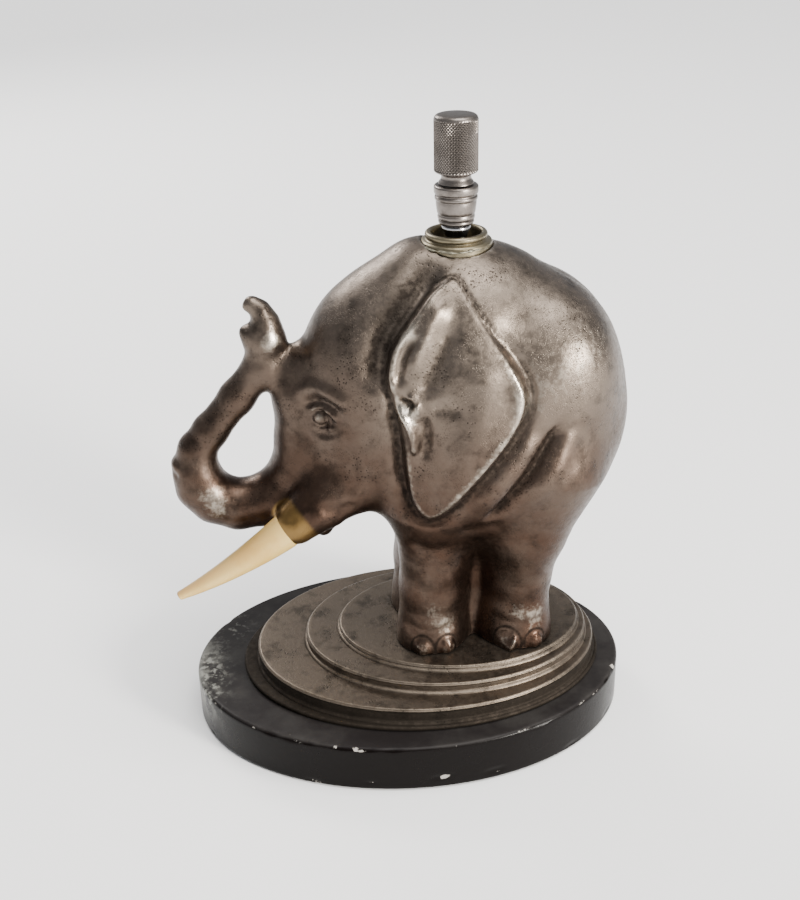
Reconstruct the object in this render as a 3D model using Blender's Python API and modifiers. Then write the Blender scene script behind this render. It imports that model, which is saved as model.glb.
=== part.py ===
"""Striker table lighter: an elephant casting on a stepped plinth and a black oval base.

Metres, +Z up. The origin is the centre of the felt's underside. The elephant faces -X, its left
side is -Y. Sizes are written in millimetres and turned into metres by MM where a mesh is made.
"""
import math

import bmesh
import bpy
from mathutils import Matrix, Vector

MM = 0.001
GAP = 0.3                    # clearance between faces that meet

# Felt and black base
BASE_LENGTH = 90.0
BASE_WIDTH = 66.0
BASE_TOP = 10.1
BASE_EDGE = 0.9              # rounding of the block's top edge
FELT_THICKNESS = 1.6
FELT_PROUD = 0.4             # felt stands this far below the block
FELT_INSET = 1.3             # rim of block left round the felt

# Plinth: half length, half width, centre along X and height of each tier, lowest first
PLINTH_FOOT = (37.8, 28.0, 2.8, 0.8)
PLINTH_TIERS = ((35.6, 26.9, 3.8, 3.4), (29.6, 22.3, 8.1, 2.4), (25.3, 18.5, 10.8, 1.3))
TIER_LIP = 0.55              # rounding of a tier's top edge
TIER_BEAD = 0.35             # bead that stands out at the bottom of a tier's side

# Elephant: its lumps are drawn at DRAWN_HEIGHT, feet on DRAWN_FOOT, well axis at DRAWN_AXIS
FIGURE_HEIGHT = 82.0
DRAWN_HEIGHT = 82.0
DRAWN_FOOT = 18.5
DRAWN_AXIS = 10.5
WELL_AXIS_X = 10.5
VOXEL = 1.25
FIGURE_TRIANGLES = 4600

# Tusks
TUSK_LENGTH = 25.2
TUSK_ROOT_R = 3.6
TUSK_TIP_R = 0.9
TUSK_SAG = 0.9               # bow of the tusk's middle below a straight line
TUSK_PEG_R = 2.0
TUSK_PEG_LENGTH = 5.5
STUMP_LENGTH = 3.6

# Collar and fuel well
COLLAR_RISE = 1.9            # rim above the back
COLLAR_SEAT = 2.2            # flat seat below the back
COLLAR_R = 6.7
COLLAR_STEM_R = 5.5
COLLAR_STEM = 5.5            # stem below the seat
RIM_R = 4.7                  # mouth of the collar
THROAT_R = 3.45
WELL_R = 5.3
WELL_WALL = 0.6
WELL_LENGTH = 46.6
WADDING_LENGTH = 33.0
CORE_WALL = 3.4              # wall of the hollow casting

# Striker wand, drawn WAND_DRAWN out of its seat
WAND_DRAWN = 8.6
HEAD_R = 4.05
HEAD_HEIGHT = 10.4
NECK_R = 2.75
NECK_HEIGHT = 2.0
PLUG_R = 4.1
PLUG_FOOT_R = 3.2
PLUG_HEIGHT = 7.3
ROD_R = 1.5
ROD_BORE_R = 0.95
ROD_LENGTH = 41.0
WICK_BORE = 9.0
SPARK_TIP_HEIGHT = 2.1

# Flint and its holder on the far side of the plinth
FLINT_LENGTH = 12.4
FLINT_WIDTH = 2.2
FLINT_HEIGHT = 2.4
HOLDER_WALL = 0.6
HOLDER_FLOOR = 0.9
HOLDER_LUG = 3.4
HOLDER_X = 11.5
HOLDER_Y = 20.8
FLINT_SCREW_R = 0.7
FLINT_SCREW_HEAD_R = 1.3

# Long screws from under the base into the casting
SCREW_R = 1.5
SCREW_HEAD_R = 2.75
SCREW_HEAD = 1.8
SCREW_BITE = 14.0            # length of screw inside the casting
SCREW_OFFSETS = {"front": -5.0, "rear": 9.0}
WASHER_R = 3.3
WASHER_THICKNESS = 0.6

PLINTH_BOTTOM = BASE_TOP + GAP
PLINTH_TOP = PLINTH_BOTTOM + PLINTH_FOOT[3] + sum(tier[3] for tier in PLINTH_TIERS)
FOOT_Z = PLINTH_TOP + GAP
SCALE = FIGURE_HEIGHT / DRAWN_HEIGHT
BACK_Z = FOOT_Z + FIGURE_HEIGHT
SEAT_Z = BACK_Z - COLLAR_SEAT
RIM_Z = BACK_Z + COLLAR_RISE
PLUG_FOOT_Z = RIM_Z - PLUG_HEIGHT + WAND_DRAWN

# Rounded lumps of the figure: centre and radii. A centre off the middle plane is mirrored.
LUMPS = {
    "barrel": ((16.2, 0.0, 66.0), (28.4, 19.8, 28.4)),
    "shoulders": ((5.2, 0.0, 77.3), (23.6, 17.6, 21.9)),
    "back": ((11.8, 0.0, 86.0), (19.4, 15.5, 14.9)),
    "belly": ((13.0, 0.0, 58.0), (20.5, 17.0, 17.0)),
    "hip": ((27.7, 6.8, 77.1), (12.4, 11.5, 15.0)),
    "cranium": ((-6.0, 0.0, 75.5), (13.8, 13.2, 18.2)),
    "cheeks": ((-8.0, 0.0, 59.6), (14.2, 12.8, 12.8)),
    "ear": ((9.2, 15.8, 72.8), (12.8, 5.6, 23.4)),
}

# Limbs of the figure: points with radii, each joined to the next by a cone
LIMBS = {
    "front_leg": (((4.9, 7.6, 50.0), 10.0), ((5.0, 7.2, 39.5), 6.9), ((4.3, 7.0, 30.0), 6.4),
                  ((4.2, 7.0, 22.0), 6.5), ((4.2, 7.0, 16.5), 6.8)),
    "rear_leg": (((26.1, 7.8, 58.0), 12.8), ((23.1, 7.6, 44.0), 9.2), ((22.5, 7.2, 33.0), 6.6),
                 ((22.1, 7.0, 21.0), 6.8), ((21.9, 7.0, 16.5), 7.1)),
    "trunk": (((-12.0, 0.0, 80.0), 7.8), ((-18.3, 0.0, 71.5), 7.1), ((-18.4, 0.0, 62.0), 7.1),
              ((-19.2, 0.0, 56.5), 7.0), ((-24.6, 0.0, 50.4), 5.8), ((-28.8, 0.0, 48.9), 5.2),
              ((-33.5, 0.0, 48.3), 5.1), ((-38.0, 0.0, 50.1), 5.15), ((-40.5, 0.0, 53.0), 5.2),
              ((-41.2, 0.0, 56.6), 4.9), ((-40.6, 0.0, 60.8), 4.1), ((-37.6, 0.0, 64.8), 3.6),
              ((-32.1, 0.0, 71.5), 3.5), ((-27.0, 0.0, 77.7), 3.5), ((-25.7, 0.0, 83.1), 3.6),
              ((-25.8, 0.0, 86.4), 2.9), ((-26.5, 0.0, 89.0), 2.1), ((-28.7, 0.0, 90.3), 1.8)),
    "trunk_lip": (((-26.3, 0.0, 83.2), 2.8), ((-29.3, 0.0, 84.6), 1.9)),
    "trunk_bridge": (((-24.6, 0.0, 76.4), 3.2), ((-19.6, 0.0, 77.6), 4.3)),
    "jaw": (((-9.0, 0.0, 54.2), 7.1), ((-15.4, 0.0, 47.0), 4.5), ((-16.8, 0.0, 42.0), 2.3)),
    "socket": (((-13.0, 7.0, 54.5), 6.6), ((-21.9, 9.2, 48.6), 4.5)),
    "crest": (((-13.0, 0.0, 84.0), 6.6), ((-4.0, 0.0, 90.2), 6.5), ((3.5, 0.0, 93.9), 6.8),
              ((10.5, 0.0, 94.3), 6.5)),
    "web": (((6.0, 0.0, 18.0), 4.6), ((6.0, 0.0, 44.0), 5.5), ((20.0, 0.0, 44.0), 5.5),
            ((20.0, 0.0, 18.0), 4.6), ((13.0, 0.0, 18.0), 4.4), ((13.0, 0.0, 44.0), 5.5)),
    "tail": (((42.0, 0.0, 73.0), 1.7), ((42.6, 0.0, 66.0), 1.6), ((41.2, 0.0, 57.0), 1.5),
             ((38.2, 1.2, 49.0), 1.5), ((36.6, 1.8, 44.5), 2.2)),
}

TUSK_ROOT = (-23.6, 9.5, 47.3)
TUSK_AIM = (-21.9, 3.0, -11.8)   # from the root towards the tip

COLOURS = {
    "felt": ((0.05, 0.09, 0.06), 0.95, 0.0),
    "black_lacquer": ((0.02, 0.018, 0.018), 0.35, 0.0),
    "plinth_bronze": ((0.20, 0.165, 0.14), 0.45, 1.0),
    "figure_bronze": ((0.26, 0.20, 0.17), 0.35, 1.0),
    "ivory": ((0.80, 0.66, 0.42), 0.35, 0.0),
    "brass": ((0.55, 0.47, 0.30), 0.35, 1.0),
    "nickel": ((0.42, 0.39, 0.36), 0.35, 1.0),
    "steel": ((0.55, 0.55, 0.56), 0.20, 1.0),
    "flint": ((0.24, 0.23, 0.23), 0.60, 1.0),
    "cotton": ((0.78, 0.75, 0.68), 0.95, 0.0),
}

for old in list(bpy.data.objects):
    bpy.data.objects.remove(old)

parts = bpy.data.collections.new("elephant_striker_lighter")
guides = bpy.data.collections.new("cutters")
for group in (parts, guides):
    bpy.context.scene.collection.children.link(group)

wand_axis = bpy.data.objects.new("wand_axis", None)
wand_axis.location = (WELL_AXIS_X * MM, 0.0, 0.0)
parts.objects.link(wand_axis)


def make_material(name):
    """Principled material of one finish, made once."""
    if name in bpy.data.materials:
        return bpy.data.materials[name]
    colour, roughness, metallic = COLOURS[name]
    material = bpy.data.materials.new(name)
    material.use_nodes = True
    shader = material.node_tree.nodes["Principled BSDF"]
    shader.inputs["Base Color"].default_value = (*colour, 1.0)
    shader.inputs["Roughness"].default_value = roughness
    shader.inputs["Metallic"].default_value = metallic
    return material


def add_object(name, mesh, finish=None, place=(0.0, 0.0, 0.0), sharp_angle=35.0):
    """Object from a mesh: a part when it has a finish, or else a cutter."""
    item = bpy.data.objects.new(name, mesh)
    item.location = Vector(place) * MM
    if finish:
        mesh.materials.append(make_material(finish))
        mesh.shade_smooth()
        mesh.set_sharp_from_angle(angle=math.radians(sharp_angle))
        parts.objects.link(item)
    else:
        item.hide_render = True
        item.display_type = "WIRE"
        guides.objects.link(item)
    return item


def mesh_from(name, form):
    """Mesh data from a bmesh drawn in millimetres."""
    bmesh.ops.scale(form, vec=(MM, MM, MM), verts=form.verts)
    mesh = bpy.data.meshes.new(name)
    form.to_mesh(mesh)
    form.free()
    return mesh


def cut(target, cutter, operation="DIFFERENCE"):
    """Boolean of a target with a cutter."""
    step = target.modifiers.new(cutter.name, "BOOLEAN")
    step.operation = operation
    step.solver = "EXACT"
    step.object = cutter


def turned(name, profile, finish=None, place=(0.0, 0.0, 0.0), steps=32):
    """Turned piece about the vertical; the profile runs down its outer side."""
    mesh = bpy.data.meshes.new(name)
    points = [(radius * MM, 0.0, height * MM) for radius, height in profile]
    edges = [(i, i + 1) for i in range(len(points) - 1)]
    if profile[0][0] > 0.0:
        edges.append((len(points) - 1, 0))
    mesh.from_pydata(points, edges, [])
    item = add_object(name, mesh, finish, place)
    spin = item.modifiers.new("turn", "SCREW")
    spin.steps = steps
    spin.render_steps = steps
    spin.use_merge_vertices = True
    spin.merge_threshold = 0.00001
    spin.use_smooth_shade = True
    return item


def plain_cylinder(radius, bottom, top):
    """Profile of a plain cylinder for turned()."""
    return [(0.0, top), (radius, top), (radius, bottom), (0.0, bottom)]


def block(name, size, centre, finish=None):
    """Box of a size about a centre."""
    form = bmesh.new()
    bmesh.ops.create_cube(form, size=1.0)
    bmesh.ops.scale(form, vec=size, verts=form.verts)
    return add_object(name, mesh_from(name, form), finish, centre)


def oval_stack(name, rings, finish=None, sides=72):
    """Loft of oval rings, lowest first; a ring is half length, half width, centre X, height."""
    form = bmesh.new()
    loops = []
    for half_length, half_width, centre_x, height in rings:
        turn = [2.0 * math.pi * k / sides for k in range(sides)]
        loops.append([form.verts.new((centre_x + half_length * math.cos(t),
                                      half_width * math.sin(t), height)) for t in turn])
    for low, high in zip(loops, loops[1:]):
        for k in range(sides):
            after = (k + 1) % sides
            form.faces.new((low[k], low[after], high[after], high[k]))
    form.faces.new(list(reversed(loops[0])))
    form.faces.new(loops[-1])
    return add_object(name, mesh_from(name, form), finish)


def rounded_oval(half_length, half_width, centre_x, bottom, top, edge):
    """Rings of an oval block with a rounded top edge."""
    rings = [(half_length, half_width, centre_x, bottom)]
    for step in range(4):
        turn = math.pi / 2.0 * step / 3.0
        inset = edge * (1.0 - math.cos(turn))
        rings.append((half_length - inset, half_width - inset, centre_x,
                      top - edge + edge * math.sin(turn)))
    return rings


def figure_point(point, side=1.0):
    """Point of the drawn figure, at its built size and place, on one side."""
    x, y, z = point
    return Vector((WELL_AXIS_X + SCALE * (x - DRAWN_AXIS), SCALE * side * y,
                   FOOT_Z + SCALE * (z - DRAWN_FOOT)))


def add_ball(form, centre, radii):
    """Ellipsoid in a bmesh."""
    place = Matrix.Translation(centre) @ Matrix.Diagonal((*radii, 1.0))
    bmesh.ops.create_uvsphere(form, u_segments=24, v_segments=14, radius=1.0, matrix=place)


def add_limb(form, points, side):
    """Chain of balls joined by cones in a bmesh."""
    joints = [(figure_point(centre, side), radius * SCALE) for centre, radius in points]
    for centre, radius in joints:
        add_ball(form, centre, (radius, radius, radius))
    for (start, r_start), (end, r_end) in zip(joints, joints[1:]):
        run = end - start
        turn = Vector((0.0, 0.0, 1.0)).rotation_difference(run).to_matrix().to_4x4()
        place = Matrix.Translation((start + end) / 2.0) @ turn
        bmesh.ops.create_cone(form, cap_ends=True, segments=24, radius1=r_start, radius2=r_end,
                              depth=run.length, matrix=place)


def make_base():
    """Felt and black block, with the block's recess and counterbores."""
    half_length, half_width = BASE_LENGTH / 2.0, BASE_WIDTH / 2.0
    felt_a, felt_b = half_length - FELT_INSET, half_width - FELT_INSET
    oval_stack("felt_pad", [(felt_a, felt_b, 0.0, 0.0), (felt_a, felt_b, 0.0, FELT_THICKNESS)], "felt")
    base = oval_stack("base_block", rounded_oval(half_length, half_width, 0.0, FELT_PROUD,
                                                 BASE_TOP, BASE_EDGE), "black_lacquer")
    recess_top = FELT_THICKNESS + GAP
    cut(base, oval_stack("felt_recess", [(felt_a + GAP, felt_b + GAP, 0.0, -1.0),
                                         (felt_a + GAP, felt_b + GAP, 0.0, recess_top)]))
    return base


def plinth_rings():
    """Rings of the plinth from its foot to its top: a bead, a side and a lip on each tier."""
    a, b, centre_x, rise = PLINTH_FOOT
    level = PLINTH_BOTTOM
    rings = [(a, b, centre_x, level), (a, b, centre_x, level + rise * 0.6),
             (a - 0.3, b - 0.3, centre_x, level + rise)]
    level += rise
    for a, b, centre_x, rise in PLINTH_TIERS:
        out = TIER_BEAD
        for outset, height in ((out, 0.05), (out, rise * 0.35), (0.0, rise * 0.5),
                               (0.0, rise - TIER_LIP), (-0.3 * TIER_LIP, rise - 0.3 * TIER_LIP),
                               (-TIER_LIP, rise)):
            rings.append((a + outset, b + outset, centre_x, level + height))
        level += rise
    return rings


def make_flint(plinth):
    """Flint trough in a pocket of the plinth, its bar and its two screws."""
    level = PLINTH_BOTTOM + PLINTH_FOOT[3] + PLINTH_TIERS[0][3]
    trough = FLINT_LENGTH + 2.0 * GAP
    length = trough + 2.0 * HOLDER_LUG
    width = FLINT_WIDTH + 2.0 * (GAP + HOLDER_WALL)
    wall_top = level + GAP + HOLDER_FLOOR + GAP + FLINT_HEIGHT * 0.6
    lug_top = level + GAP + HOLDER_FLOOR
    pocket_depth = 12.0
    cut(plinth, block("flint_pocket", (length + 2.0 * GAP, width + 2.0 * GAP, pocket_depth),
                      (HOLDER_X, HOLDER_Y, level + pocket_depth / 2.0)))
    holder = block("flint_holder", (length, width, wall_top - level - GAP),
                   (HOLDER_X, HOLDER_Y, (wall_top + level + GAP) / 2.0), "brass")
    cut(holder, block("flint_trough", (trough, FLINT_WIDTH + 2.0 * GAP, pocket_depth),
                      (HOLDER_X, HOLDER_Y, lug_top + pocket_depth / 2.0)))
    bar_bottom = lug_top + GAP
    block("flint_bar", (FLINT_LENGTH, FLINT_WIDTH, FLINT_HEIGHT),
          (HOLDER_X, HOLDER_Y, bar_bottom + FLINT_HEIGHT / 2.0), "flint")
    for end, side in (("front", -1.0), ("rear", 1.0)):
        x = HOLDER_X + side * (length / 2.0 - HOLDER_LUG / 2.0)
        cut(holder, block("lug_" + end, (HOLDER_LUG - HOLDER_WALL * 0.5, width + 1.0, pocket_depth),
                          (x + side * HOLDER_WALL * 0.5, HOLDER_Y, lug_top + pocket_depth / 2.0)))
        hole = turned("flint_hole_" + end, plain_cylinder(FLINT_SCREW_R + GAP, level - 3.0 - GAP,
                                                          level + 6.0), place=(x, HOLDER_Y, 0.0), steps=16)
        cut(holder, hole)
        cut(plinth, hole)
        head_bottom = lug_top + GAP
        turned("flint_screw_" + end,
               [(0.0, head_bottom + 0.9), (FLINT_SCREW_HEAD_R * 0.6, head_bottom + 0.8),
                (FLINT_SCREW_HEAD_R, head_bottom + 0.3), (FLINT_SCREW_HEAD_R, head_bottom),
                (FLINT_SCREW_R, head_bottom), (FLINT_SCREW_R, level - 3.0), (0.0, level - 3.0)],
               "steel", (x, HOLDER_Y, 0.0), steps=16)


def make_screws(base, plinth, figure):
    """Long screws and washers that hold base, plinth and casting together."""
    head_bottom = FELT_THICKNESS + 2.0 * GAP
    washer_bottom = head_bottom + SCREW_HEAD + GAP
    counterbore_top = washer_bottom + WASHER_THICKNESS + GAP
    tip = FOOT_Z + SCREW_BITE
    for end, offset in SCREW_OFFSETS.items():
        place = (WELL_AXIS_X + offset, 0.0, 0.0)
        shank = turned("screw_hole_" + end, plain_cylinder(SCREW_R + GAP, FELT_THICKNESS - 2.0,
                                                           tip + GAP), place=place, steps=16)
        cut(base, turned("counterbore_" + end, plain_cylinder(WASHER_R + GAP, FELT_THICKNESS - 2.0,
                                                              counterbore_top), place=place))
        for body in (base, plinth, figure):
            cut(body, shank)
        screw = turned("frame_screw_" + end,
                       [(0.0, tip), (SCREW_R * 0.6, tip), (SCREW_R, tip - 1.0),
                        (SCREW_R, head_bottom + SCREW_HEAD), (SCREW_HEAD_R, head_bottom + SCREW_HEAD),
                        (SCREW_HEAD_R, head_bottom + 0.3), (SCREW_HEAD_R - 0.3, head_bottom),
                        (0.0, head_bottom)], "steel", place, steps=20)
        cut(screw, block("slot_" + end, (SCREW_HEAD_R * 3.0, 0.7, 1.4),
                         (place[0], 0.0, head_bottom)))
        turned("frame_washer_" + end,
               [(SCREW_R + GAP, washer_bottom + WASHER_THICKNESS),
                (WASHER_R, washer_bottom + WASHER_THICKNESS), (WASHER_R, washer_bottom),
                (SCREW_R + GAP, washer_bottom)], "steel", place, steps=24)


def make_figure():
    """Hollow elephant casting, open at the top for the collar and the well."""
    form = bmesh.new()
    for centre, radii in LUMPS.values():
        for side in (1.0, -1.0) if centre[1] else (1.0,):
            add_ball(form, figure_point(centre, side), [r * SCALE for r in radii])
    for points in LIMBS.values():
        for side in (1.0, -1.0) if points[0][0][1] else (1.0,):
            add_limb(form, points, side)
    figure = add_object("elephant_body", mesh_from("elephant_body", form), "figure_bronze")
    skin = figure.modifiers.new("skin", "REMESH")
    skin.mode = "VOXEL"
    skin.voxel_size = VOXEL * SCALE * MM
    soften = figure.modifiers.new("soften", "SMOOTH")
    soften.iterations = 8
    thin = figure.modifiers.new("thin", "DECIMATE")
    evaluated = figure.evaluated_get(bpy.context.evaluated_depsgraph_get())
    count = sum(len(face.vertices) - 2 for face in evaluated.data.polygons)
    thin.ratio = min(1.0, FIGURE_TRIANGLES / count)

    floor_depth = 12.0
    reach = 4.0 * FIGURE_HEIGHT
    cut(figure, block("floor", (reach, reach, floor_depth), (0.0, 0.0, FOOT_Z - floor_depth / 2.0)))
    core = bmesh.new()
    for name in ("barrel", "shoulders", "belly"):
        centre, radii = LUMPS[name]
        add_ball(core, figure_point(centre), [r * SCALE - CORE_WALL for r in radii])
    hollow = add_object("hollow", mesh_from("hollow", core))
    blend = hollow.modifiers.new("blend", "REMESH")
    blend.mode = "VOXEL"
    blend.voxel_size = 3.0 * SCALE * MM
    cut(figure, hollow)
    above = RIM_Z + 10.0
    place = (WELL_AXIS_X, 0.0, 0.0)
    cut(figure, turned("well_bore", plain_cylinder(max(COLLAR_STEM_R, WELL_R) + GAP,
                                                   FOOT_Z + FIGURE_HEIGHT * 0.5,
                                                   above), place=place))
    cut(figure, turned("collar_seat", plain_cylinder(COLLAR_R + GAP, SEAT_Z, above), place=place))
    return figure


def make_tusk(name, side, length, figure):
    """Tusk from its root face outwards, with a peg in the casting's socket."""
    root = figure_point(TUSK_ROOT, side)
    aim = Vector((TUSK_AIM[0], TUSK_AIM[1] * side, TUSK_AIM[2])).normalized()
    turn = Vector((0.0, 0.0, 1.0)).rotation_difference(aim)
    full = TUSK_LENGTH
    rings = 9
    form = bmesh.new()
    loops = []
    sides = 20
    stations = [(-TUSK_PEG_LENGTH, TUSK_PEG_R), (GAP, TUSK_PEG_R)]
    for k in range(rings):
        along = GAP + (length - GAP) * k / (rings - 1)
        share = along / full
        stations.append((along, TUSK_ROOT_R + (TUSK_TIP_R - TUSK_ROOT_R) * share ** 1.12))
    stations.append((length + 0.45, stations[-1][1] * 0.6))
    for along, radius in stations:
        share = max(along, 0.0) / full
        sag = -TUSK_SAG * 4.0 * share * (1.0 - share)
        middle = root + aim * along + Vector((0.0, 0.0, sag))
        ring = []
        for k in range(sides):
            angle = 2.0 * math.pi * k / sides
            out = turn @ Vector((math.cos(angle), math.sin(angle), 0.0))
            ring.append(form.verts.new(middle + out * radius))
        loops.append(ring)
    for low, high in zip(loops, loops[1:]):
        for k in range(sides):
            after = (k + 1) % sides
            form.faces.new((low[k], low[after], high[after], high[k]))
    form.faces.new(list(reversed(loops[0])))
    form.faces.new(loops[-1])
    add_object(name, mesh_from(name, form), "ivory")

    for use, radius, start, end in (("peg_hole", TUSK_PEG_R + GAP, -TUSK_PEG_LENGTH - GAP, 1.0),
                                    ("root_face", TUSK_ROOT_R + 1.2, 0.0, 5.0)):
        clear = bmesh.new()
        middle = root + aim * (start + end) / 2.0
        place = Matrix.Translation(middle) @ turn.to_matrix().to_4x4()
        bmesh.ops.create_cone(clear, cap_ends=True, segments=24, radius1=radius, radius2=radius,
                              depth=end - start, matrix=place)
        cut(figure, add_object(f"{name}_{use}", mesh_from(f"{name}_{use}", clear)))


def make_well():
    """Collar, fuel well and cotton wadding, all on the well's axis."""
    place = (WELL_AXIS_X, 0.0, 0.0)
    flange = SEAT_Z + GAP
    stem = SEAT_Z - COLLAR_STEM
    throat_top = stem + 6.0
    turned("collar", [(THROAT_R, stem), (THROAT_R, stem + 1.5), (RIM_R - 0.1, throat_top),
                      (RIM_R, RIM_Z - 0.4), (RIM_R + 0.25, RIM_Z), (RIM_R + 0.8, RIM_Z),
                      (RIM_R + 1.15, RIM_Z - 0.35), (RIM_R + 1.15, RIM_Z - 1.3),
                      (COLLAR_R - 0.35, RIM_Z - 1.5), (COLLAR_R, RIM_Z - 1.9), (COLLAR_R, flange),
                      (COLLAR_STEM_R, flange), (COLLAR_STEM_R, stem)], "brass", place, steps=40)
    well_top = stem - GAP
    floor = well_top - WELL_LENGTH
    inner = WELL_R - WELL_WALL
    turned("fuel_well", [(0.0, floor + WELL_WALL), (inner, floor + WELL_WALL), (inner, well_top),
                         (WELL_R, well_top), (WELL_R, floor + 0.6), (WELL_R - 0.6, floor),
                         (0.0, floor)], "brass", place, steps=28)
    wadding_bottom = floor + WELL_WALL + GAP
    wadding_top = wadding_bottom + WADDING_LENGTH
    turned("fuel_wadding", [(ROD_R + 0.4, wadding_bottom), (ROD_R + 0.4, wadding_top),
                            (inner - GAP, wadding_top), (inner - GAP, wadding_bottom)],
           "cotton", place, steps=24)


def make_wand():
    """Striker wand: knurled head, tapered plug, steel rod, wick and spark tip."""
    foot = PLUG_FOOT_Z
    top = foot + PLUG_HEIGHT
    taper = [(share, PLUG_FOOT_R + (PLUG_R - PLUG_FOOT_R) * share) for share in (0.08, 0.2, 0.45, 0.72)]
    low, ring, waist, band = [(r, foot + PLUG_HEIGHT * share) for share, r in taper]
    plug = [(0.0, top), (PLUG_R - 0.15, top), (PLUG_R, top - 0.2), (band[0] + 0.05, band[1]),
            (band[0] - 0.2, band[1] - 0.15), (band[0] - 0.2, band[1] - 0.4),
            (band[0], band[1] - 0.55), waist, ring, (ring[0] - 0.15, ring[1] - 0.2),
            (low[0], low[1]), (PLUG_FOOT_R - 0.2, foot), (0.0, foot)]
    neck_bottom = top + GAP
    head_bottom = neck_bottom + NECK_HEIGHT
    head_top = head_bottom + HEAD_HEIGHT
    head = [(0.0, head_top), (HEAD_R * 0.6, head_top - 0.12), (HEAD_R * 0.86, head_top - 0.4),
            (HEAD_R, head_top - 1.1), (HEAD_R, head_bottom + 0.5), (HEAD_R - 0.3, head_bottom),
            (NECK_R, head_bottom - 0.5), (NECK_R, neck_bottom + 0.8),
            (NECK_R + 0.5, neck_bottom), (0.0, neck_bottom)]
    rod_top = foot - GAP
    rod_bottom = rod_top - ROD_LENGTH
    rod = [(0.0, rod_top), (PLUG_FOOT_R - 0.5, rod_top), (PLUG_FOOT_R - 0.6, rod_top - 0.7),
           (ROD_R + 0.1, rod_top - 2.8), (ROD_R, rod_top - 3.3), (ROD_R, rod_bottom),
           (ROD_BORE_R, rod_bottom), (ROD_BORE_R, rod_bottom + WICK_BORE),
           (0.0, rod_bottom + WICK_BORE)]
    tip_top = rod_bottom - GAP
    tip_bottom = tip_top - SPARK_TIP_HEIGHT
    tip = [(ROD_BORE_R, tip_bottom), (ROD_BORE_R, tip_top), (ROD_R, tip_top),
           (ROD_R, tip_bottom + 0.8), (ROD_R - 0.4, tip_bottom)]
    wick = plain_cylinder(ROD_BORE_R - GAP, tip_bottom - 0.6, rod_bottom + WICK_BORE - GAP)
    pieces = (("wand_head", head, "nickel", 40), ("wand_plug", plug, "nickel", 36),
              ("wand_rod", rod, "steel", 24), ("spark_tip", tip, "steel", 20),
              ("wand_wick", wick, "cotton", 12))
    for name, profile, finish, steps in pieces:
        turned(name, profile, finish, steps=steps).parent = wand_axis


base_block = make_base()
plinth_casting = oval_stack("plinth", plinth_rings(), "plinth_bronze")
make_flint(plinth_casting)
elephant = make_figure()
make_screws(base_block, plinth_casting, elephant)
make_tusk("tusk_left", -1.0, TUSK_LENGTH, elephant)
make_tusk("tusk_right", 1.0, STUMP_LENGTH, elephant)
make_well()
make_wand()
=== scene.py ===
import math

import bmesh
import bpy
import numpy as np
from mathutils import Matrix, Vector


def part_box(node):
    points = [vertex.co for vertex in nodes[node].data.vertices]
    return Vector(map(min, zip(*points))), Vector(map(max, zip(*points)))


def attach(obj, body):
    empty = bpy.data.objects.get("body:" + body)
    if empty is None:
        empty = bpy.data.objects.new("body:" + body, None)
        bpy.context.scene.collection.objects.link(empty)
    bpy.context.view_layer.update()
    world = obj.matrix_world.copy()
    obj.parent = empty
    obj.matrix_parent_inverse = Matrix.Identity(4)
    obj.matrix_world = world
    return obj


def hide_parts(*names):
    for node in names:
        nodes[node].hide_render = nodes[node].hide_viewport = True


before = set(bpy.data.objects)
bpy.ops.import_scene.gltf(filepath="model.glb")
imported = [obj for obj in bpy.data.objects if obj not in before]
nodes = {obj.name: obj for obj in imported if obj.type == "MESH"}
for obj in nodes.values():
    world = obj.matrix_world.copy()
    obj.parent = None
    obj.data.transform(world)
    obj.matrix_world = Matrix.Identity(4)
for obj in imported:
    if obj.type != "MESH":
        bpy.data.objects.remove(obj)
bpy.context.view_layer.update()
mm = 0.001
mainBody, wandBody = "lighter", "wand"


def boxMm(node):
    low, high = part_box(node)
    return low / mm, high / mm


collarLow, collarHigh = boxMm("collar")
wellX = (collarLow.x + collarHigh.x) / 2
footZ = boxMm("elephant_body")[0].z
print("frame loaded")


# small tools
def newObject(name, mesh):
    item = bpy.data.objects.new(name, mesh)
    bpy.context.scene.collection.objects.link(item)
    return item


def meshFromForm(name, form):
    mesh = bpy.data.meshes.new(name)
    form.to_mesh(mesh)
    form.free()
    return mesh


def applyModifiers(item):
    # turns what the modifiers make into the object's own mesh
    graph = bpy.context.evaluated_depsgraph_get()
    mesh = bpy.data.meshes.new_from_object(item.evaluated_get(graph))
    item.modifiers.clear()
    item.data = mesh
    return item


def smoothShade(item, angle=40):
    item.data.shade_smooth()
    item.data.set_sharp_from_angle(angle=math.radians(angle))


def vectorsOf(mesh, kind):
    flat = np.empty(len(mesh.vertices) * 3)
    mesh.vertices.foreach_get(kind, flat)
    return flat.reshape(-1, 3)


def pointsOf(mesh):
    return vectorsOf(mesh, "co")


def setPoints(mesh, points):
    mesh.vertices.foreach_set("co", points.astype(np.float32).ravel())
    mesh.update()


def edgesOf(mesh):
    flat = np.empty(len(mesh.edges) * 2, dtype=np.int32)
    mesh.edges.foreach_get("vertices", flat)
    return flat.reshape(-1, 2)


def relax(values, edges, rounds, strength=0.5):
    # evens out values, or points, between neighbours along the mesh's edges
    count = np.bincount(edges.ravel(), minlength=len(values)).astype(float)
    count = np.maximum(count, 1)
    for _ in range(rounds):
        total = np.zeros_like(values)
        for a, b in ((0, 1), (1, 0)):
            if values.ndim == 1:
                total += np.bincount(edges[:, a], weights=values[edges[:, b]], minlength=len(values))
            else:
                for k in range(values.shape[1]):
                    total[:, k] += np.bincount(edges[:, a], weights=values[edges[:, b], k],
                                               minlength=len(values))
        mean = total / (count if values.ndim == 1 else count[:, None])
        values = values + strength * (mean - values)
    return values


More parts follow.
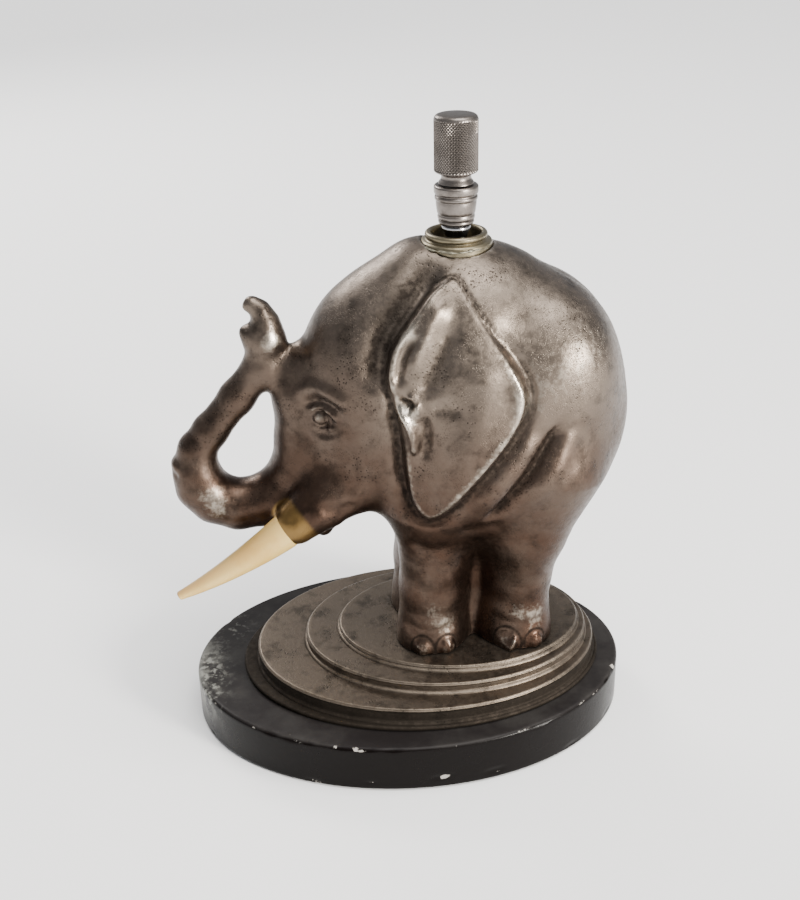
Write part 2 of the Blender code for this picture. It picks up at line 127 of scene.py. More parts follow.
def addMask(mesh, name, values):
    layer = mesh.attributes.new(name, "FLOAT", "POINT")
    layer.data.foreach_set("value", values.astype(np.float32))


def smoothStep(x, low, high):
    t = np.clip((x - low) / (high - low), 0, 1)
    return t * t * (3 - 2 * t)


def cutWith(item, cutter):
    # boolean difference, applied, and the cutter is taken away
    step = item.modifiers.new("cut", "BOOLEAN")
    step.operation = "DIFFERENCE"
    step.solver = "MANIFOLD"
    step.object = cutter
    applyModifiers(item)
    bpy.data.objects.remove(cutter)


def spinPiece(name, profile, steps=96, centre=(0.0, 0.0)):
    # turned piece: profile of (radius, height) in mm, down the outer side
    mesh = bpy.data.meshes.new(name)
    points = [(r * mm, 0, z * mm) for r, z in profile]
    edges = [(i, i + 1) for i in range(len(points) - 1)]
    if profile[0][0] > 0:
        edges.append((len(points) - 1, 0))
    mesh.from_pydata(points, edges, [])
    item = newObject(name, mesh)
    spin = item.modifiers.new("turn", "SCREW")
    spin.steps = spin.render_steps = steps
    spin.use_merge_vertices = True
    spin.merge_threshold = 0.000005
    applyModifiers(item)
    item.data.transform(Matrix.Translation((centre[0] * mm, centre[1] * mm, 0)))
    smoothShade(item, 50)
    return item


def skinLoops(form, loops):
    # sides between neighbouring loops of corners, and a cap at each end
    count = len(loops[0])
    for low, high in zip(loops, loops[1:]):
        for k in range(count):
            after = (k + 1) % count
            form.faces.new((low[k], low[after], high[after], high[k]))
    form.faces.new(list(reversed(loops[0])))
    form.faces.new(loops[-1])


def ovalShell(name, rings, sides):
    # closed stack of ovals with a middle point at each end
    # rings go from the lowest up, in mm: half length, half width, centre along X, height
    form = bmesh.new()
    angles = [2 * math.pi * k / sides for k in range(sides)]
    loops = []
    for a, b, x, z in rings:
        loops.append([form.verts.new(((x + a * math.cos(t)) * mm, b * math.sin(t) * mm, z * mm))
                      for t in angles])
    skinLoops(form, loops)
    bmesh.ops.poke(form, faces=[f for f in form.faces if len(f.verts) > 4])
    return newObject(name, meshFromForm(name, form))


# node groups
def startGroup(name, **inputs):
    # shared effect with number inputs and one mask out
    group = bpy.data.node_groups.new(name, "ShaderNodeTree")
    add = group.interface.new_socket
    for label, value in inputs.items():
        add(name=label.replace("_", " "), in_out="INPUT", socket_type="NodeSocketFloat").default_value = value
    add(name="Mask", in_out="OUTPUT", socket_type="NodeSocketFloat")
    return group, group.nodes.new("NodeGroupInput"), group.nodes.new("NodeGroupOutput")


def addNode(tree, kind, **settings):
    node = tree.nodes.new("ShaderNode" + kind)
    for key, value in settings.items():
        if key in node.inputs:
            node.inputs[key].default_value = value
        else:
            setattr(node, key, value)
    return node


def mathNode(tree, operation, a, b=None, clamp=False):
    node = tree.nodes.new("ShaderNodeMath")
    node.operation = operation
    node.use_clamp = clamp
    for k, value in enumerate((a, b)):
        if value is None:
            continue
        if isinstance(value, (int, float)):
            node.inputs[k].default_value = value
        else:
            tree.links.new(value, node.inputs[k])
    return node.outputs[0]


def times(tree, a, b):
    return mathNode(tree, "MULTIPLY", a, b)


def plus(tree, a, b):
    return mathNode(tree, "ADD", a, b)


def rampNode(tree, source, low, high, toLow=0.0, toHigh=1.0):
    node = tree.nodes.new("ShaderNodeMapRange")
    node.interpolation_type = "SMOOTHSTEP"
    for label, value in (("From Min", low), ("From Max", high), ("To Min", toLow), ("To Max", toHigh)):
        node.inputs[label].default_value = value
    tree.links.new(source, node.inputs["Value"])
    return node.outputs["Result"]


def mixColour(tree, mask, first, second):
    node = tree.nodes.new("ShaderNodeMix")
    node.data_type = "RGBA"
    for label, value in ((0, mask), (6, first), (7, second)):
        socket = node.inputs[label]
        if isinstance(value, (int, float)):
            socket.default_value = value
        elif isinstance(value, tuple):
            socket.default_value = (*value, 1)
        else:
            tree.links.new(value, socket)
    return node.outputs[2]


def tint(tree, mask, share, colour, over):
    # a share of the mask lets the second colour through
    return mixColour(tree, times(tree, mask, share), colour, over)


def makeMottle():
    # cloudy patches at one size, with a finer cloud inside them
    group, start, end = startGroup("mottle", Size=100.0, Low=0.4, High=0.6)
    place = addNode(group, "TexCoord")
    noise = addNode(group, "TexNoise", Detail=6.0, Roughness=0.62)
    group.links.new(place.outputs["Object"], noise.inputs["Vector"])
    group.links.new(start.outputs["Size"], noise.inputs["Scale"])
    ramp = addNode(group, "MapRange", interpolation_type="SMOOTHSTEP")
    group.links.new(noise.outputs[0], ramp.inputs["Value"])
    group.links.new(start.outputs["Low"], ramp.inputs["From Min"])
    group.links.new(start.outputs["High"], ramp.inputs["From Max"])
    group.links.new(ramp.outputs[0], end.inputs["Mask"])
    return group


def makePits():
    # scattered casting pits: dark dots where a cloud lets them through
    group, start, end = startGroup("castingPits", Size=1500.0, Amount=0.5, Patch_Size=150.0)
    place = addNode(group, "TexCoord")
    cells = addNode(group, "TexVoronoi", Randomness=1.0)
    cloud = addNode(group, "TexNoise", Detail=3.0)
    for texture, label in ((cells, "Size"), (cloud, "Patch Size")):
        group.links.new(place.outputs["Object"], texture.inputs["Vector"])
        group.links.new(start.outputs[label], texture.inputs["Scale"])
    dots = rampNode(group, cells.outputs["Distance"], 0.34, 0.12)
    chance = mathNode(group, "SUBTRACT", start.outputs["Amount"], 0.5)
    gate = plus(group, cloud.outputs[0], chance)
    gate = rampNode(group, gate, 0.5, 0.62)
    group.links.new(times(group, dots, gate), end.inputs["Mask"])
    return group


def makeScratches():
    # fine handling scratches, long in one direction
    group, start, end = startGroup("scratches", Size=300.0, Turn=0.5)
    place = addNode(group, "TexCoord")
    turn = addNode(group, "VectorRotate", rotation_type="AXIS_ANGLE", Axis=(0.3, 1.0, 0.2))
    group.links.new(place.outputs["Object"], turn.inputs["Vector"])
    group.links.new(start.outputs["Turn"], turn.inputs["Angle"])
    stretch = addNode(group, "Mapping", Scale=(1.0, 1.0, 14.0))
    group.links.new(turn.outputs[0], stretch.inputs["Vector"])
    noise = addNode(group, "TexNoise", Detail=4.0, Roughness=0.7)
    group.links.new(stretch.outputs[0], noise.inputs["Vector"])
    group.links.new(start.outputs["Size"], noise.inputs["Scale"])
    group.links.new(rampNode(group, noise.outputs[0], 0.6, 0.72), end.inputs["Mask"])
    return group


mottle, castingPits, scratches = makeMottle(), makePits(), makeScratches()


def useGroup(tree, group, **values):
    node = tree.nodes.new("ShaderNodeGroup")
    node.node_tree = group
    for key, value in values.items():
        node.inputs[key.replace("_", " ")].default_value = value
    return node.outputs[0]


def startMaterial(name, **values):
    material = bpy.data.materials.new(name)
    material.use_nodes = True
    tree = material.node_tree
    shader = tree.nodes["Principled BSDF"]
    for key, value in values.items():
        shader.inputs[key.replace("_", " ")].default_value = value
    return material, tree, shader


def addBump(tree, shader, height, distance, strength=1.0):
    bump = addNode(tree, "Bump", Strength=strength, Distance=distance)
    tree.links.new(height, bump.inputs["Height"])
    tree.links.new(bump.outputs[0], shader.inputs["Normal"])


def readMask(tree, name):
    return addNode(tree, "Attribute", attribute_name=name).outputs["Fac"]


def heightShare(tree, low, high):
    # 0 at one height and 1 at another, in metres
    place = addNode(tree, "TexCoord")
    split = addNode(tree, "SeparateXYZ")
    tree.links.new(place.outputs["Object"], split.inputs[0])
    return rampNode(tree, split.outputs[2], low, high)


def makeCastingFinish(name, dark, body, shadeBrown, bright, shadeTop, shine):
    # bronzed casting: dark patina in hollows deepened with painted shade, a darker warm brown low down and a
    # darker head as painted shade, plate worn bright on high spots together with painted highlights
    material, tree, shader = startMaterial(name, Metallic=1.0)
    link = tree.links.new
    cloud = useGroup(tree, mottle, Size=70.0, Low=0.36, High=0.64)
    grain = useGroup(tree, mottle, Size=900.0, Low=0.35, High=0.7)
    # painted shade: the colour turns to a darker warm brown low down
    low = heightShare(tree, shadeTop, shadeTop * 0.45)
    lowShade = times(tree, low, plus(tree, 0.45, times(tree, cloud, 0.55)))
    colour = mixColour(tree, lowShade, body, shadeBrown)
    # painted shade: the head, the low parts and the rear end are darkened
    headAndLowShade = times(tree, readMask(tree, "headAndLowShade"), plus(tree, 0.7, times(tree, cloud, 0.3)))
    colour = tint(tree, headAndLowShade, 0.78, colour, tuple(0.5 * (a + b) for a, b in zip(dark, shadeBrown)))
    stain = useGroup(tree, mottle, Size=240.0, Low=0.46, High=0.72)
    colour = tint(tree, stain, 0.55, colour, dark)
    # bright plate: real wear on high spots, together with painted highlights on raised places, rims and edges
    wearAndHighlightRaw = plus(tree, readMask(tree, "wearAndHighlight"), times(tree, grain, 0.28))
    wearAndHighlight = rampNode(tree, wearAndHighlightRaw, 0.36, 1.2)
    colour = mixColour(tree, wearAndHighlight, colour, bright)
    colour = tint(tree, readMask(tree, "gilt"), 0.8, colour, (0.21, 0.13, 0.045))
    # dark in hollows: real patina, deepened with painted shade in the creases and recesses
    patinaAndShadeRaw = plus(tree, readMask(tree, "patinaAndShade"), times(tree, grain, 0.25))
    patinaAndShade = rampNode(tree, patinaAndShadeRaw, 0.35, 0.95)
    colour = tint(tree, patinaAndShade, 0.85, colour, dark)
    pits = useGroup(tree, castingPits, Size=1500.0, Amount=0.5, Patch_Size=120.0)
    finePits = useGroup(tree, castingPits, Size=3600.0, Amount=0.56, Patch_Size=260.0)
    allPits = mathNode(tree, "MAXIMUM", pits, times(tree, finePits, 0.7))
    colour = tint(tree, allPits, 0.75, colour, dark)
    link(colour, shader.inputs["Base Color"])
    rough = plus(tree, shine, times(tree, grain, 0.12))
    rough = plus(tree, rough, times(tree, patinaAndShade, 0.25))
    rough = mathNode(tree, "SUBTRACT", rough, times(tree, wearAndHighlight, 0.13), clamp=True)
    link(rough, shader.inputs["Roughness"])
    lines = useGroup(tree, scratches, Size=260.0, Turn=0.6)
    height = mathNode(tree, "SUBTRACT", times(tree, grain, 0.35), times(tree, allPits, 1.0))
    height = mathNode(tree, "SUBTRACT", height, times(tree, lines, 0.12))
    addBump(tree, shader, height, 0.00006, 0.7)
    return material


# colours: patina dark, body, the painted shade brown for low down and the head, bright plate that also carries
# painted highlights; then where the painted low shade starts, and roughness
figureFinish = makeCastingFinish("figureBronze", (0.011, 0.0085, 0.007), (0.160, 0.130, 0.105),
                                 (0.078, 0.044, 0.030), (0.47, 0.42, 0.35), 0.088, 0.33)
plinthFinish = makeCastingFinish("plinthBronze", (0.014, 0.012, 0.010), (0.135, 0.110, 0.086),
                                 (0.118, 0.092, 0.070), (0.27, 0.225, 0.175), 0.020, 0.42)


def makeLacquer():
    # black lacquer over pale ground, lighter on top as a painted reflection of the light from above, rubbed
    # grey in patches on top, chipped at its edges, with a painted highlight line along the top edge
    material, tree, shader = startMaterial("blackLacquer", IOR=1.4, Specular_IOR_Level=0.14)
    link = tree.links.new
    rub = useGroup(tree, mottle, Size=55.0, Low=0.42, High=0.72)
    dust = useGroup(tree, mottle, Size=600.0, Low=0.45, High=0.75)
    top = readMask(tree, "top")
    # painted reflection: the top is lighter than the near-black sides
    colour = tint(tree, top, 0.8, (0.0024, 0.0015, 0.0012), (0.015, 0.013, 0.013))
    colour = mixColour(tree, times(tree, times(tree, rub, top), 0.45), colour, (0.050, 0.047, 0.043))
    patch = times(tree, readMask(tree, "patch"), rampNode(tree, plus(tree, dust, rub), 0.25, 1.0))
    colour = tint(tree, patch, 0.8, colour, (0.27, 0.27, 0.24))
    chipNoise = useGroup(tree, mottle, Size=420.0, Low=0.50, High=0.66)
    # chips showing the pale ground, and the painted highlight line along the top edge that comes in through the
    # wear-and-highlight mask
    chip = times(tree, readMask(tree, "wearAndHighlight"), chipNoise)
    spots = useGroup(tree, castingPits, Size=520.0, Amount=0.34, Patch_Size=60.0)
    chip = rampNode(tree, plus(tree, chip, times(tree, spots, 0.9)), 0.35, 0.6)
    colour = mixColour(tree, chip, colour, (0.32, 0.30, 0.27))
    link(colour, shader.inputs["Base Color"])
    rough = plus(tree, 0.22, times(tree, top, 0.16))
    rough = plus(tree, rough, times(tree, rub, 0.12))
    rough = mathNode(tree, "ADD", rough, times(tree, chip, 0.3), clamp=True)
    link(rough, shader.inputs["Roughness"])
    addBump(tree, shader, mathNode(tree, "SUBTRACT", times(tree, dust, 0.25), chip), 0.00008, 0.6)
    return material


def makeIvory():
    # yellowed cream resin with long faint growth streaks and a tan upper side
    material, tree, shader = startMaterial("yellowedIvory", IOR=1.52, Subsurface_Weight=0.12,
                                           Subsurface_Radius=(0.004, 0.002, 0.001), Subsurface_Scale=0.4)
    link = tree.links.new
    streaks = useGroup(tree, scratches, Size=90.0, Turn=1.05)
    cloud = useGroup(tree, mottle, Size=130.0, Low=0.4, High=0.7)
    colour = tint(tree, cloud, 0.75, (0.61, 0.43, 0.14), (0.51, 0.31, 0.065))
    colour = tint(tree, readMask(tree, "top"), 0.75, colour, (0.36, 0.21, 0.09))
    colour = tint(tree, streaks, 0.18, colour, (0.45, 0.27, 0.10))
    specks = useGroup(tree, castingPits, Size=700.0, Amount=0.36, Patch_Size=180.0)
    colour = tint(tree, specks, 0.6, colour, (0.33, 0.18, 0.06))
    colour = tint(tree, readMask(tree, "seam"), 0.9, colour, (0.06, 0.045, 0.03))
    link(colour, shader.inputs["Base Color"])
    link(plus(tree, 0.3, times(tree, cloud, 0.15)), shader.inputs["Roughness"])
    addBump(tree, shader, streaks, 0.00004, 0.4)
    return material


def makeMetal(name, base, stain, roughness, ringSize=0.0, stainAmount=0.6):
    # turned metal: stains, fine lathe rings along the height and a rubbed grain
    material, tree, shader = startMaterial(name, Metallic=1.0)
    cloud = useGroup(tree, mottle, Size=260.0, Low=0.42, High=0.7)
    grain = useGroup(tree, mottle, Size=2600.0, Low=0.4, High=0.7)
    colour = tint(tree, cloud, stainAmount, base, stain)
    colour = tint(tree, grain, 0.25, colour, stain)
    # darker where the patina-and-shade mask is set, as in the knurl's grooves
    colour = tint(tree, readMask(tree, "patinaAndShade"), 0.85, colour, tuple(c * 0.3 for c in stain))
    tree.links.new(colour, shader.inputs["Base Color"])
    tree.links.new(plus(tree, roughness, times(tree, cloud, 0.12)), shader.inputs["Roughness"])
    height = times(tree, grain, 0.4)
    if ringSize:
        place = addNode(tree, "TexCoord")
        wave = addNode(tree, "TexWave", bands_direction="Z", Scale=ringSize, Distortion=0.4, Detail=2.0)
        tree.links.new(place.outputs["Object"], wave.inputs["Vector"])
        height = plus(tree, height, times(tree, wave.outputs["Fac"], 0.5))
    addBump(tree, shader, height, 0.00002, 0.5)
    return material


def makeFibre(name, base, shade, size):
    # pressed or loose fibre
    material, tree, shader = startMaterial(name, Roughness=0.95, Sheen_Weight=0.3, Sheen_Roughness=0.5)
    tuft = useGroup(tree, mottle, Size=size, Low=0.3, High=0.7)
    strands = useGroup(tree, scratches, Size=size * 0.8, Turn=1.2)
    both = plus(tree, times(tree, tuft, 0.6), times(tree, strands, 0.4))
    tree.links.new(mixColour(tree, both, base, shade), shader.inputs["Base Color"])
    addBump(tree, shader, both, 0.00015, 0.8)
    return material


lacquerFinish = makeLacquer()
ivoryFinish = makeIvory()
brassFinish = makeMetal("tarnishedBrass", (0.215, 0.185, 0.125), (0.07, 0.058, 0.036), 0.36, 900.0)
nickelFinish = makeMetal("dulledNickel", (0.205, 0.182, 0.165), (0.085, 0.073, 0.064), 0.32, 1500.0)
steelFinish = makeMetal("turnedSteel", (0.62, 0.63, 0.65), (0.30, 0.30, 0.31), 0.16, 2200.0, 0.35)
flintFinish = makeMetal("flintAlloy", (0.20, 0.19, 0.19), (0.08, 0.075, 0.07), 0.55, 0.0)
solderFinish = makeMetal("greySolder", (0.25, 0.235, 0.18), (0.11, 0.10, 0.07), 0.45, 0.0)
feltFinish = makeFibre("greenFelt", (0.030, 0.060, 0.038), (0.012, 0.026, 0.016), 1500.0)
cottonFinish = makeFibre("cottonFibre", (0.74, 0.70, 0.62), (0.50, 0.46, 0.40), 1800.0)
print("finishes ready")


def place(item, material, body, slot, *replaced):
    item.data.materials.clear()
    item.data.materials.append(material)
    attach(item, body)
    if replaced:
        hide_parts(*replaced)
    return item


# elephant
# places in mm; anything off the middle plane is made on both sides
figure = {
    "voxelRough": 0.6, "voxelFine": 0.27, "blendBody": 5.0, "blendLimb": 3.0, "shrink": 0.3,
    "blends": {"tail": 1.2, "web": 6.5},
    "balls": {
        "barrel": ((16.2, 0, 66), (28.4, 19.8, 28.4)),
        "shoulders": ((5.2, 0, 77.3), (23.5, 17.5, 21.8)),
        "back": ((11.8, 0, 86), (19.3, 15.5, 14.8)),
        "belly": ((13, 0, 58), (20.5, 17, 17)),
        "hip": ((27.7, 6.8, 77.1), (12.4, 11.5, 15)),
        "rump": ((27.4, 0, 77.2), (12.6, 10, 14.8)),
        "flank": ((14, 8.5, 60), (13, 11.2, 15)),
        "cranium": ((-5.6, 0, 75.2), (13.4, 13.2, 17.2)),
        "cheeks": ((-8, 0, 59.6), (14.2, 12.8, 12.8)),
    },
    "limbs": {
        "frontLeg": (((4.9, 7.6, 50), 10), ((5, 7.2, 39.5), 6.9), ((4.3, 7, 30), 6.4),
                     ((4.2, 7, 23.5), 6.4), ((4.2, 7, 20), 7.0), ((4.2, 7, 16.5), 7.5)),
        "rearLeg": (((26.1, 7.8, 58), 12.8), ((23.1, 7.6, 44), 9.2), ((22.5, 7.2, 33), 6.6),
                    ((22.1, 7, 24), 6.6), ((22, 7, 20), 7.2), ((21.9, 7, 16.5), 7.7)),
        "trunk": (((-11.2, 0, 78.4), 7.2), ((-18.3, 0, 71.5), 7.2), ((-18.4, 0, 62), 7.2),
                  ((-19.2, 0, 56.5), 7.1), ((-24.6, 0, 50.4), 5.9), ((-28.8, 0, 48.9), 5.3),
                  ((-33.5, 0, 48.3), 5.2), ((-38, 0, 50.1), 5.25), ((-40.5, 0, 53), 5.2),
                  ((-41.3, 0, 56.6), 4.7), ((-40.7, 0, 60.8), 3.85), ((-37.7, 0, 64.8), 3.6),
                  ((-32.1, 0, 71.5), 3.6), ((-27, 0, 77.7), 3.6), ((-25.7, 0, 83.1), 3.7),
                  ((-25.8, 0, 86.4), 2.9), ((-26.6, 0, 88.9), 2.1), ((-28, 0, 90.2), 1.5),
                  ((-28.9, 0, 89.7), 1.0)),
        "trunkLip": (((-26.3, 0, 83.2), 2.7), ((-28.4, 0, 84.2), 1.8), ((-29.6, 0, 84.9), 1.1)),
        "trunkBridge": (((-24.6, 0, 76.4), 3.2), ((-19.6, 0, 77.4), 4.3)),
        "jaw": (((-9, 0, 54.2), 7.1), ((-15.4, 0, 47), 4.5), ((-16.8, 0, 42), 2.3)),
        "socket": (((-13, 7, 54.5), 6.5), ((-22, 9.3, 48.4), 4.6)),
        "crest": (((-10.4, 0, 82.6), 5.4), ((-3.4, 0, 89.4), 6), ((3.5, 0, 94), 6.9), ((10.5, 0, 94.5), 6.9)),
        "web": (((6, 0, 18), 5.4), ((6, 0, 44), 6.4), ((20, 0, 44), 6.4), ((20, 0, 18), 5.4),
                ((13, 0, 18), 5.4), ((13, 0, 44), 6.6)),
        "tail": (((42, 0, 73), 1.8), ((42.6, 0, 66), 1.7), ((41.2, 0, 57), 1.6), ((38.2, 1.2, 49), 1.6),
                 ((36.6, 1.8, 44.5), 2.3)),
    },
    # centre and radius of small sharp-edged lumps
    "nails": (((1.8, 13.3, 19.7), 1.9), ((6.6, 13.2, 19.7), 1.9), ((18.8, 13.5, 19.8), 2.5),
              ((24.6, 13.2, 19.7), 1.9)),
    "eye": {"place": (-16.1, 70.0), "radius": 1.8, "sink": 1.15},
    "earEdge": ((8.8, 97.1), (11.5, 93.3), (14.8, 88), (18.4, 82.8), (20.8, 77.8), (20.4, 73), (17.8, 68.4),
                (14.2, 63.8), (10.4, 59), (7.4, 54.8), (4.8, 52.2), (2.6, 51.7), (0.8, 53.4), (-0.5, 57),
                (-1.2, 62), (-1.5, 66.5), (-2, 71.4), (-3, 76), (-3.9, 79.3), (-3.6, 83), (-2.2, 86.7),
                (1.3, 91.2), (4.7, 95.2)),
    "earLift": 1.8,
    # room cut for the collar's seat and for the well's bore
    "seatRadius": 7.0, "seatLift": 5.6, "boreRadius": 5.8, "boreFloor": 44, "cutTop": 120,
    # strokes pressed in (-) or raised (+): height, half width, then points along X and Z
    "strokes": {
        "earRim": (0.9, 0.8, (8.4, 96.4), (4.6, 94.2), (1.2, 90.4), (-2.1, 86), (-3.4, 82.4), (-3.5, 79),
                   (-2.8, 76.6)),
        "rimGutter": (-0.8, 0.9, (2.2, 88.6), (-0.4, 85.4), (-1.6, 82), (-1.9, 79)),
        "innerRoll": (0.9, 1.7, (7.4, 94.4), (4.8, 91.6), (2.6, 87.8), (1, 83.8), (-0.1, 79.8)),
        "innerValley": (-1.0, 1.9, (7.8, 90.4), (6.2, 86.6), (4.8, 83), (3.4, 79.8), (2, 76.6)),
        "earSwell": (0.7, 3.4, (12.4, 84), (12.8, 77), (10.5, 70), (7, 62)),
        "earHole": (-1.3, 1.1, (-2.2, 76.9), (-0.4, 75.8), (0.6, 75)),
        "curl": (1.2, 0.75, (-3, 75.2), (-1.3, 73.3), (-0.2, 71.4), (0.5, 69.2), (0.8, 66.8), (1.4, 65)),
        "curlTop": (0.9, 0.6, (-1.5, 76.2), (0.1, 77), (1.1, 75.2), (0.9, 73.4)),
        "curlValley": (-1.0, 1.3, (1.9, 74), (2.6, 71.2), (2.6, 67.8), (2.3, 64)),
        "earWedge": (-0.45, 1.3, (3.4, 74.8), (6, 75), (9.4, 75)),
        "frontValley": (-1.7, 2.5, (7.4, 99.6), (1.6, 95.2), (-4.2, 89), (-6.6, 82.5), (-6.2, 76)),
        "cheekGroove": (-0.8, 1.1, (-4.4, 76), (-3.4, 71), (-2.8, 66), (-2.4, 60), (-1.6, 55)),
        "thighCrease": (-1.3, 1.1, (28.2, 71.4), (25.2, 66.8), (21.2, 60.7), (16.4, 54.2), (12.8, 50.4)),
        "thighRidge": (0.6, 2.0, (31, 69.6), (28.4, 65.4), (24.8, 59.6), (20, 52.8)),
        "flankFold": (0.6, 1.8, (23.2, 70), (19.8, 64.2), (15.2, 58.4), (10.2, 53.4)),
        "flankEdge": (-0.5, 1.6, (17.6, 50.2), (12.6, 48.6), (8.4, 48.4)),
        "browRoll": (0.9, 1.5, (-20.4, 72.8), (-18.6, 75.4), (-15.8, 76), (-12.8, 75), (-11, 72.8)),
        "eyeHollow": (-0.9, 2.3, (-17, 70), (-15, 70.2)),
        "browShade": (-0.6, 0.9, (-19.4, 71.4), (-17.6, 73.4), (-14.6, 73.6), (-12.4, 72)),
        "lidTop": (0.75, 0.55, (-18.7, 70.4), (-17.5, 71.9), (-15.5, 72.3), (-13.9, 71.4), (-13.1, 69.3)),
        "lidLow": (0.6, 0.5, (-18.3, 69), (-16.6, 67.9), (-14.6, 68.2), (-13.4, 69.2)),
        "eyeBag": (0.45, 0.9, (-19, 68.4), (-16.4, 65.7), (-13.4, 66.6), (-12, 69)),
        "mouthFold": (-0.45, 1.3, (-18, 53.4), (-14, 52.4), (-10, 53.6)),
        "lipFold": (0.35, 1.8, (-19.4, 52), (-15.6, 49.6), (-12.6, 48.8)),
        "cheekHollow": (-0.6, 2.4, (-16.6, 63), (-14, 58.4), (-9.6, 56)),
        "elbow": (-0.5, 1.6, (-1.2, 45.5), (3, 43.4), (8.4, 43.6)),
        "knee": (0.35, 2.2, (1, 35.5), (5.4, 35), (8.4, 36)),
        "hock": (0.3, 2.4, (19, 37), (23, 36), (27, 38)),
        "ankleFront": (-0.22, 1.1, (-2.5, 24.6), (3, 23.4), (9.6, 24.6)),
        "ankleRear": (-0.22, 1.1, (15.4, 25), (21.6, 23.8), (29, 25)),
    },
    # notches on the middle plane: height, reach, then the point in X and Z
    "notches": ((-0.5, 0.7, (-45.2, 56.8)), (0.4, 0.9, (-45.4, 58.6)), (-0.7, 1.3, (-29.3, 87.2))),
    # where hands and cloths have rubbed the plate bright, and painted highlights where the light catches the
    # rump, the back and the ear's rims, with a painted glint on the eye: centre, reach and strength
    "rubbedAndHighlit": (((26.5, 18, 79), 7.0, 0.3), ((20.4, 19, 75), 2.6, 0.5), ((19, 18.6, 69), 2.2, 0.3),
               ((-38.2, 4.5, 52.5), 2.8, 0.55), ((-36.5, 5, 49), 2.2, 0.35), ((6.6, 12.8, 24.4), 2.8, 0.5),
               ((25.2, 12.8, 25.4), 3.2, 0.5), ((-24.6, 3.6, 84), 2.0, 0.7),
               ((2, 12.8, 19.5), 1.6, 0.5), ((7, 12.4, 19.5), 1.6, 0.55), ((18.8, 12.8, 19.8), 2.0, 0.5),
               ((-1, 17.5, 73.5), 2.4, 1.0), ((0.4, 15.5, 88), 2.4, 0.5), ((4.5, 15.5, 86), 3.0, 0.35),
               ((15, 6, 97), 9.0, 0.22), ((33, 12, 84), 7.0, 0.35), ((-16.4, 9, 70.6), 1.0, 0.3),
               ((4, 13, 28), 2.6, 0.35), ((21, 13, 27), 2.6, 0.3)),
    "gilt": ((-22.9, 9.5, 47.8), 5.9),
}


def ballDistance(p, centre, radii):
    q = (p - np.array(centre)) / np.array(radii)
    near = np.linalg.norm(q, axis=1)
    far = np.linalg.norm(q / np.array(radii), axis=1) + 1e-9
    return near * (near - 1) / far


def coneDistance(p, start, startR, end, endR):
    start = np.array(start, float)
    run = np.array(end, float) - start
    share = np.clip((p - start) @ run / (run @ run), 0, 1)
    return np.linalg.norm(p - start - share[:, None] * run, axis=1) - (startR + (endR - startR) * share)


def blendDistance(a, b, reach):
    near = np.maximum(reach - np.abs(a - b), 0) / reach
    return np.minimum(a, b) - near * near * reach / 4


def skinDistance(p):
    # distance in mm from the smooth outside of the figure
    q = p.copy()
    q[:, 1] = np.abs(q[:, 1])
    total = None
    for centre, radii in figure["balls"].values():
        d = ballDistance(q, centre, radii)
        total = d if total is None else blendDistance(total, d, figure["blendBody"])
    for name, points in figure["limbs"].items():
        d = None
        for (a, ra), (b, rb) in zip(points, points[1:]):
            e = coneDistance(p if name == "tail" else q, a, ra, b, rb)
            d = e if d is None else blendDistance(d, e, 1.5)
        total = blendDistance(total, d, figure["blends"].get(name, figure["blendLimb"]))
    for centre, radius in figure["nails"]:
        d = ballDistance(q, centre, (radius * 1.15, radius * 0.85, radius * 1.25))
        total = blendDistance(total, d, 0.3)
    return total + figure["shrink"]


def skinSlope(p, step=0.05):
    slope = np.empty_like(p)
    for k in range(3):
        shift = np.zeros(3)
        shift[k] = step
        slope[:, k] = skinDistance(p + shift) - skinDistance(p - shift)
    return slope / np.maximum(np.linalg.norm(slope, axis=1), 1e-9)[:, None]


def curveThrough(points, parts=6, closed=False):
    # smooth line through points, for strokes and the ear's edge
    p = np.array(points, float)
    if closed:
        p = np.vstack((p[-1], p, p[0], p[1]))
    else:
        p = np.vstack((2 * p[0] - p[1], p, 2 * p[-1] - p[-2]))
    line = []
    for a, b, c, d in zip(p, p[1:], p[2:], p[3:]):
        for k in range(parts):
            t = k / parts
            line.append(0.5 * (2 * b + (c - a) * t + (2 * a - 5 * b + 4 * c - d) * t * t
                               + (3 * b - a - 3 * c + d) * t ** 3))
    if not closed:
        line.append(p[-2])
    return np.array(line)


def lineDistance(q, line, closed=False):
    # distance from flat points to a line, and how far along it the nearest place is
    best = np.full(len(q), 1e9)
    along = np.zeros(len(q))
    ends = np.vstack((line[1:], line[:1])) if closed else line[1:]
    for k, (a, b) in enumerate(zip(line, ends)):
        run = b - a
        share = np.clip((q - a) @ run / max(run @ run, 1e-9), 0, 1)
        d = np.linalg.norm(q - a - share[:, None] * run, axis=1)
        nearer = d < best
        best[nearer] = d[nearer]
        along[nearer] = (k + share[nearer]) / len(ends)
    return best, along


def insideEdge(q, line):
    inside = np.zeros(len(q), bool)
    for a, b in zip(line, np.vstack((line[1:], line[:1]))):
        crosses = (a[1] > q[:, 1]) != (b[1] > q[:, 1])
        x = a[0] + (q[:, 1] - a[1]) * (b[0] - a[0]) / (b[1] - a[1] + 1e-12)
        inside ^= crosses & (q[:, 0] < x)
    return inside


def earPlaces(p):
    # signed distance in from the ear's edge, and how far a place lies to its rear
    edge = curveThrough(figure["earEdge"], closed=True)
    q = p[:, [0, 2]]
    d, _ = lineDistance(q, edge, closed=True)
    s = np.where(insideEdge(q, edge), d, -d)
    rear = smoothStep(q[:, 0], 2.0, 9.0)
    return s, rear, rear * smoothStep(q[:, 1], 80.0, 90.0)


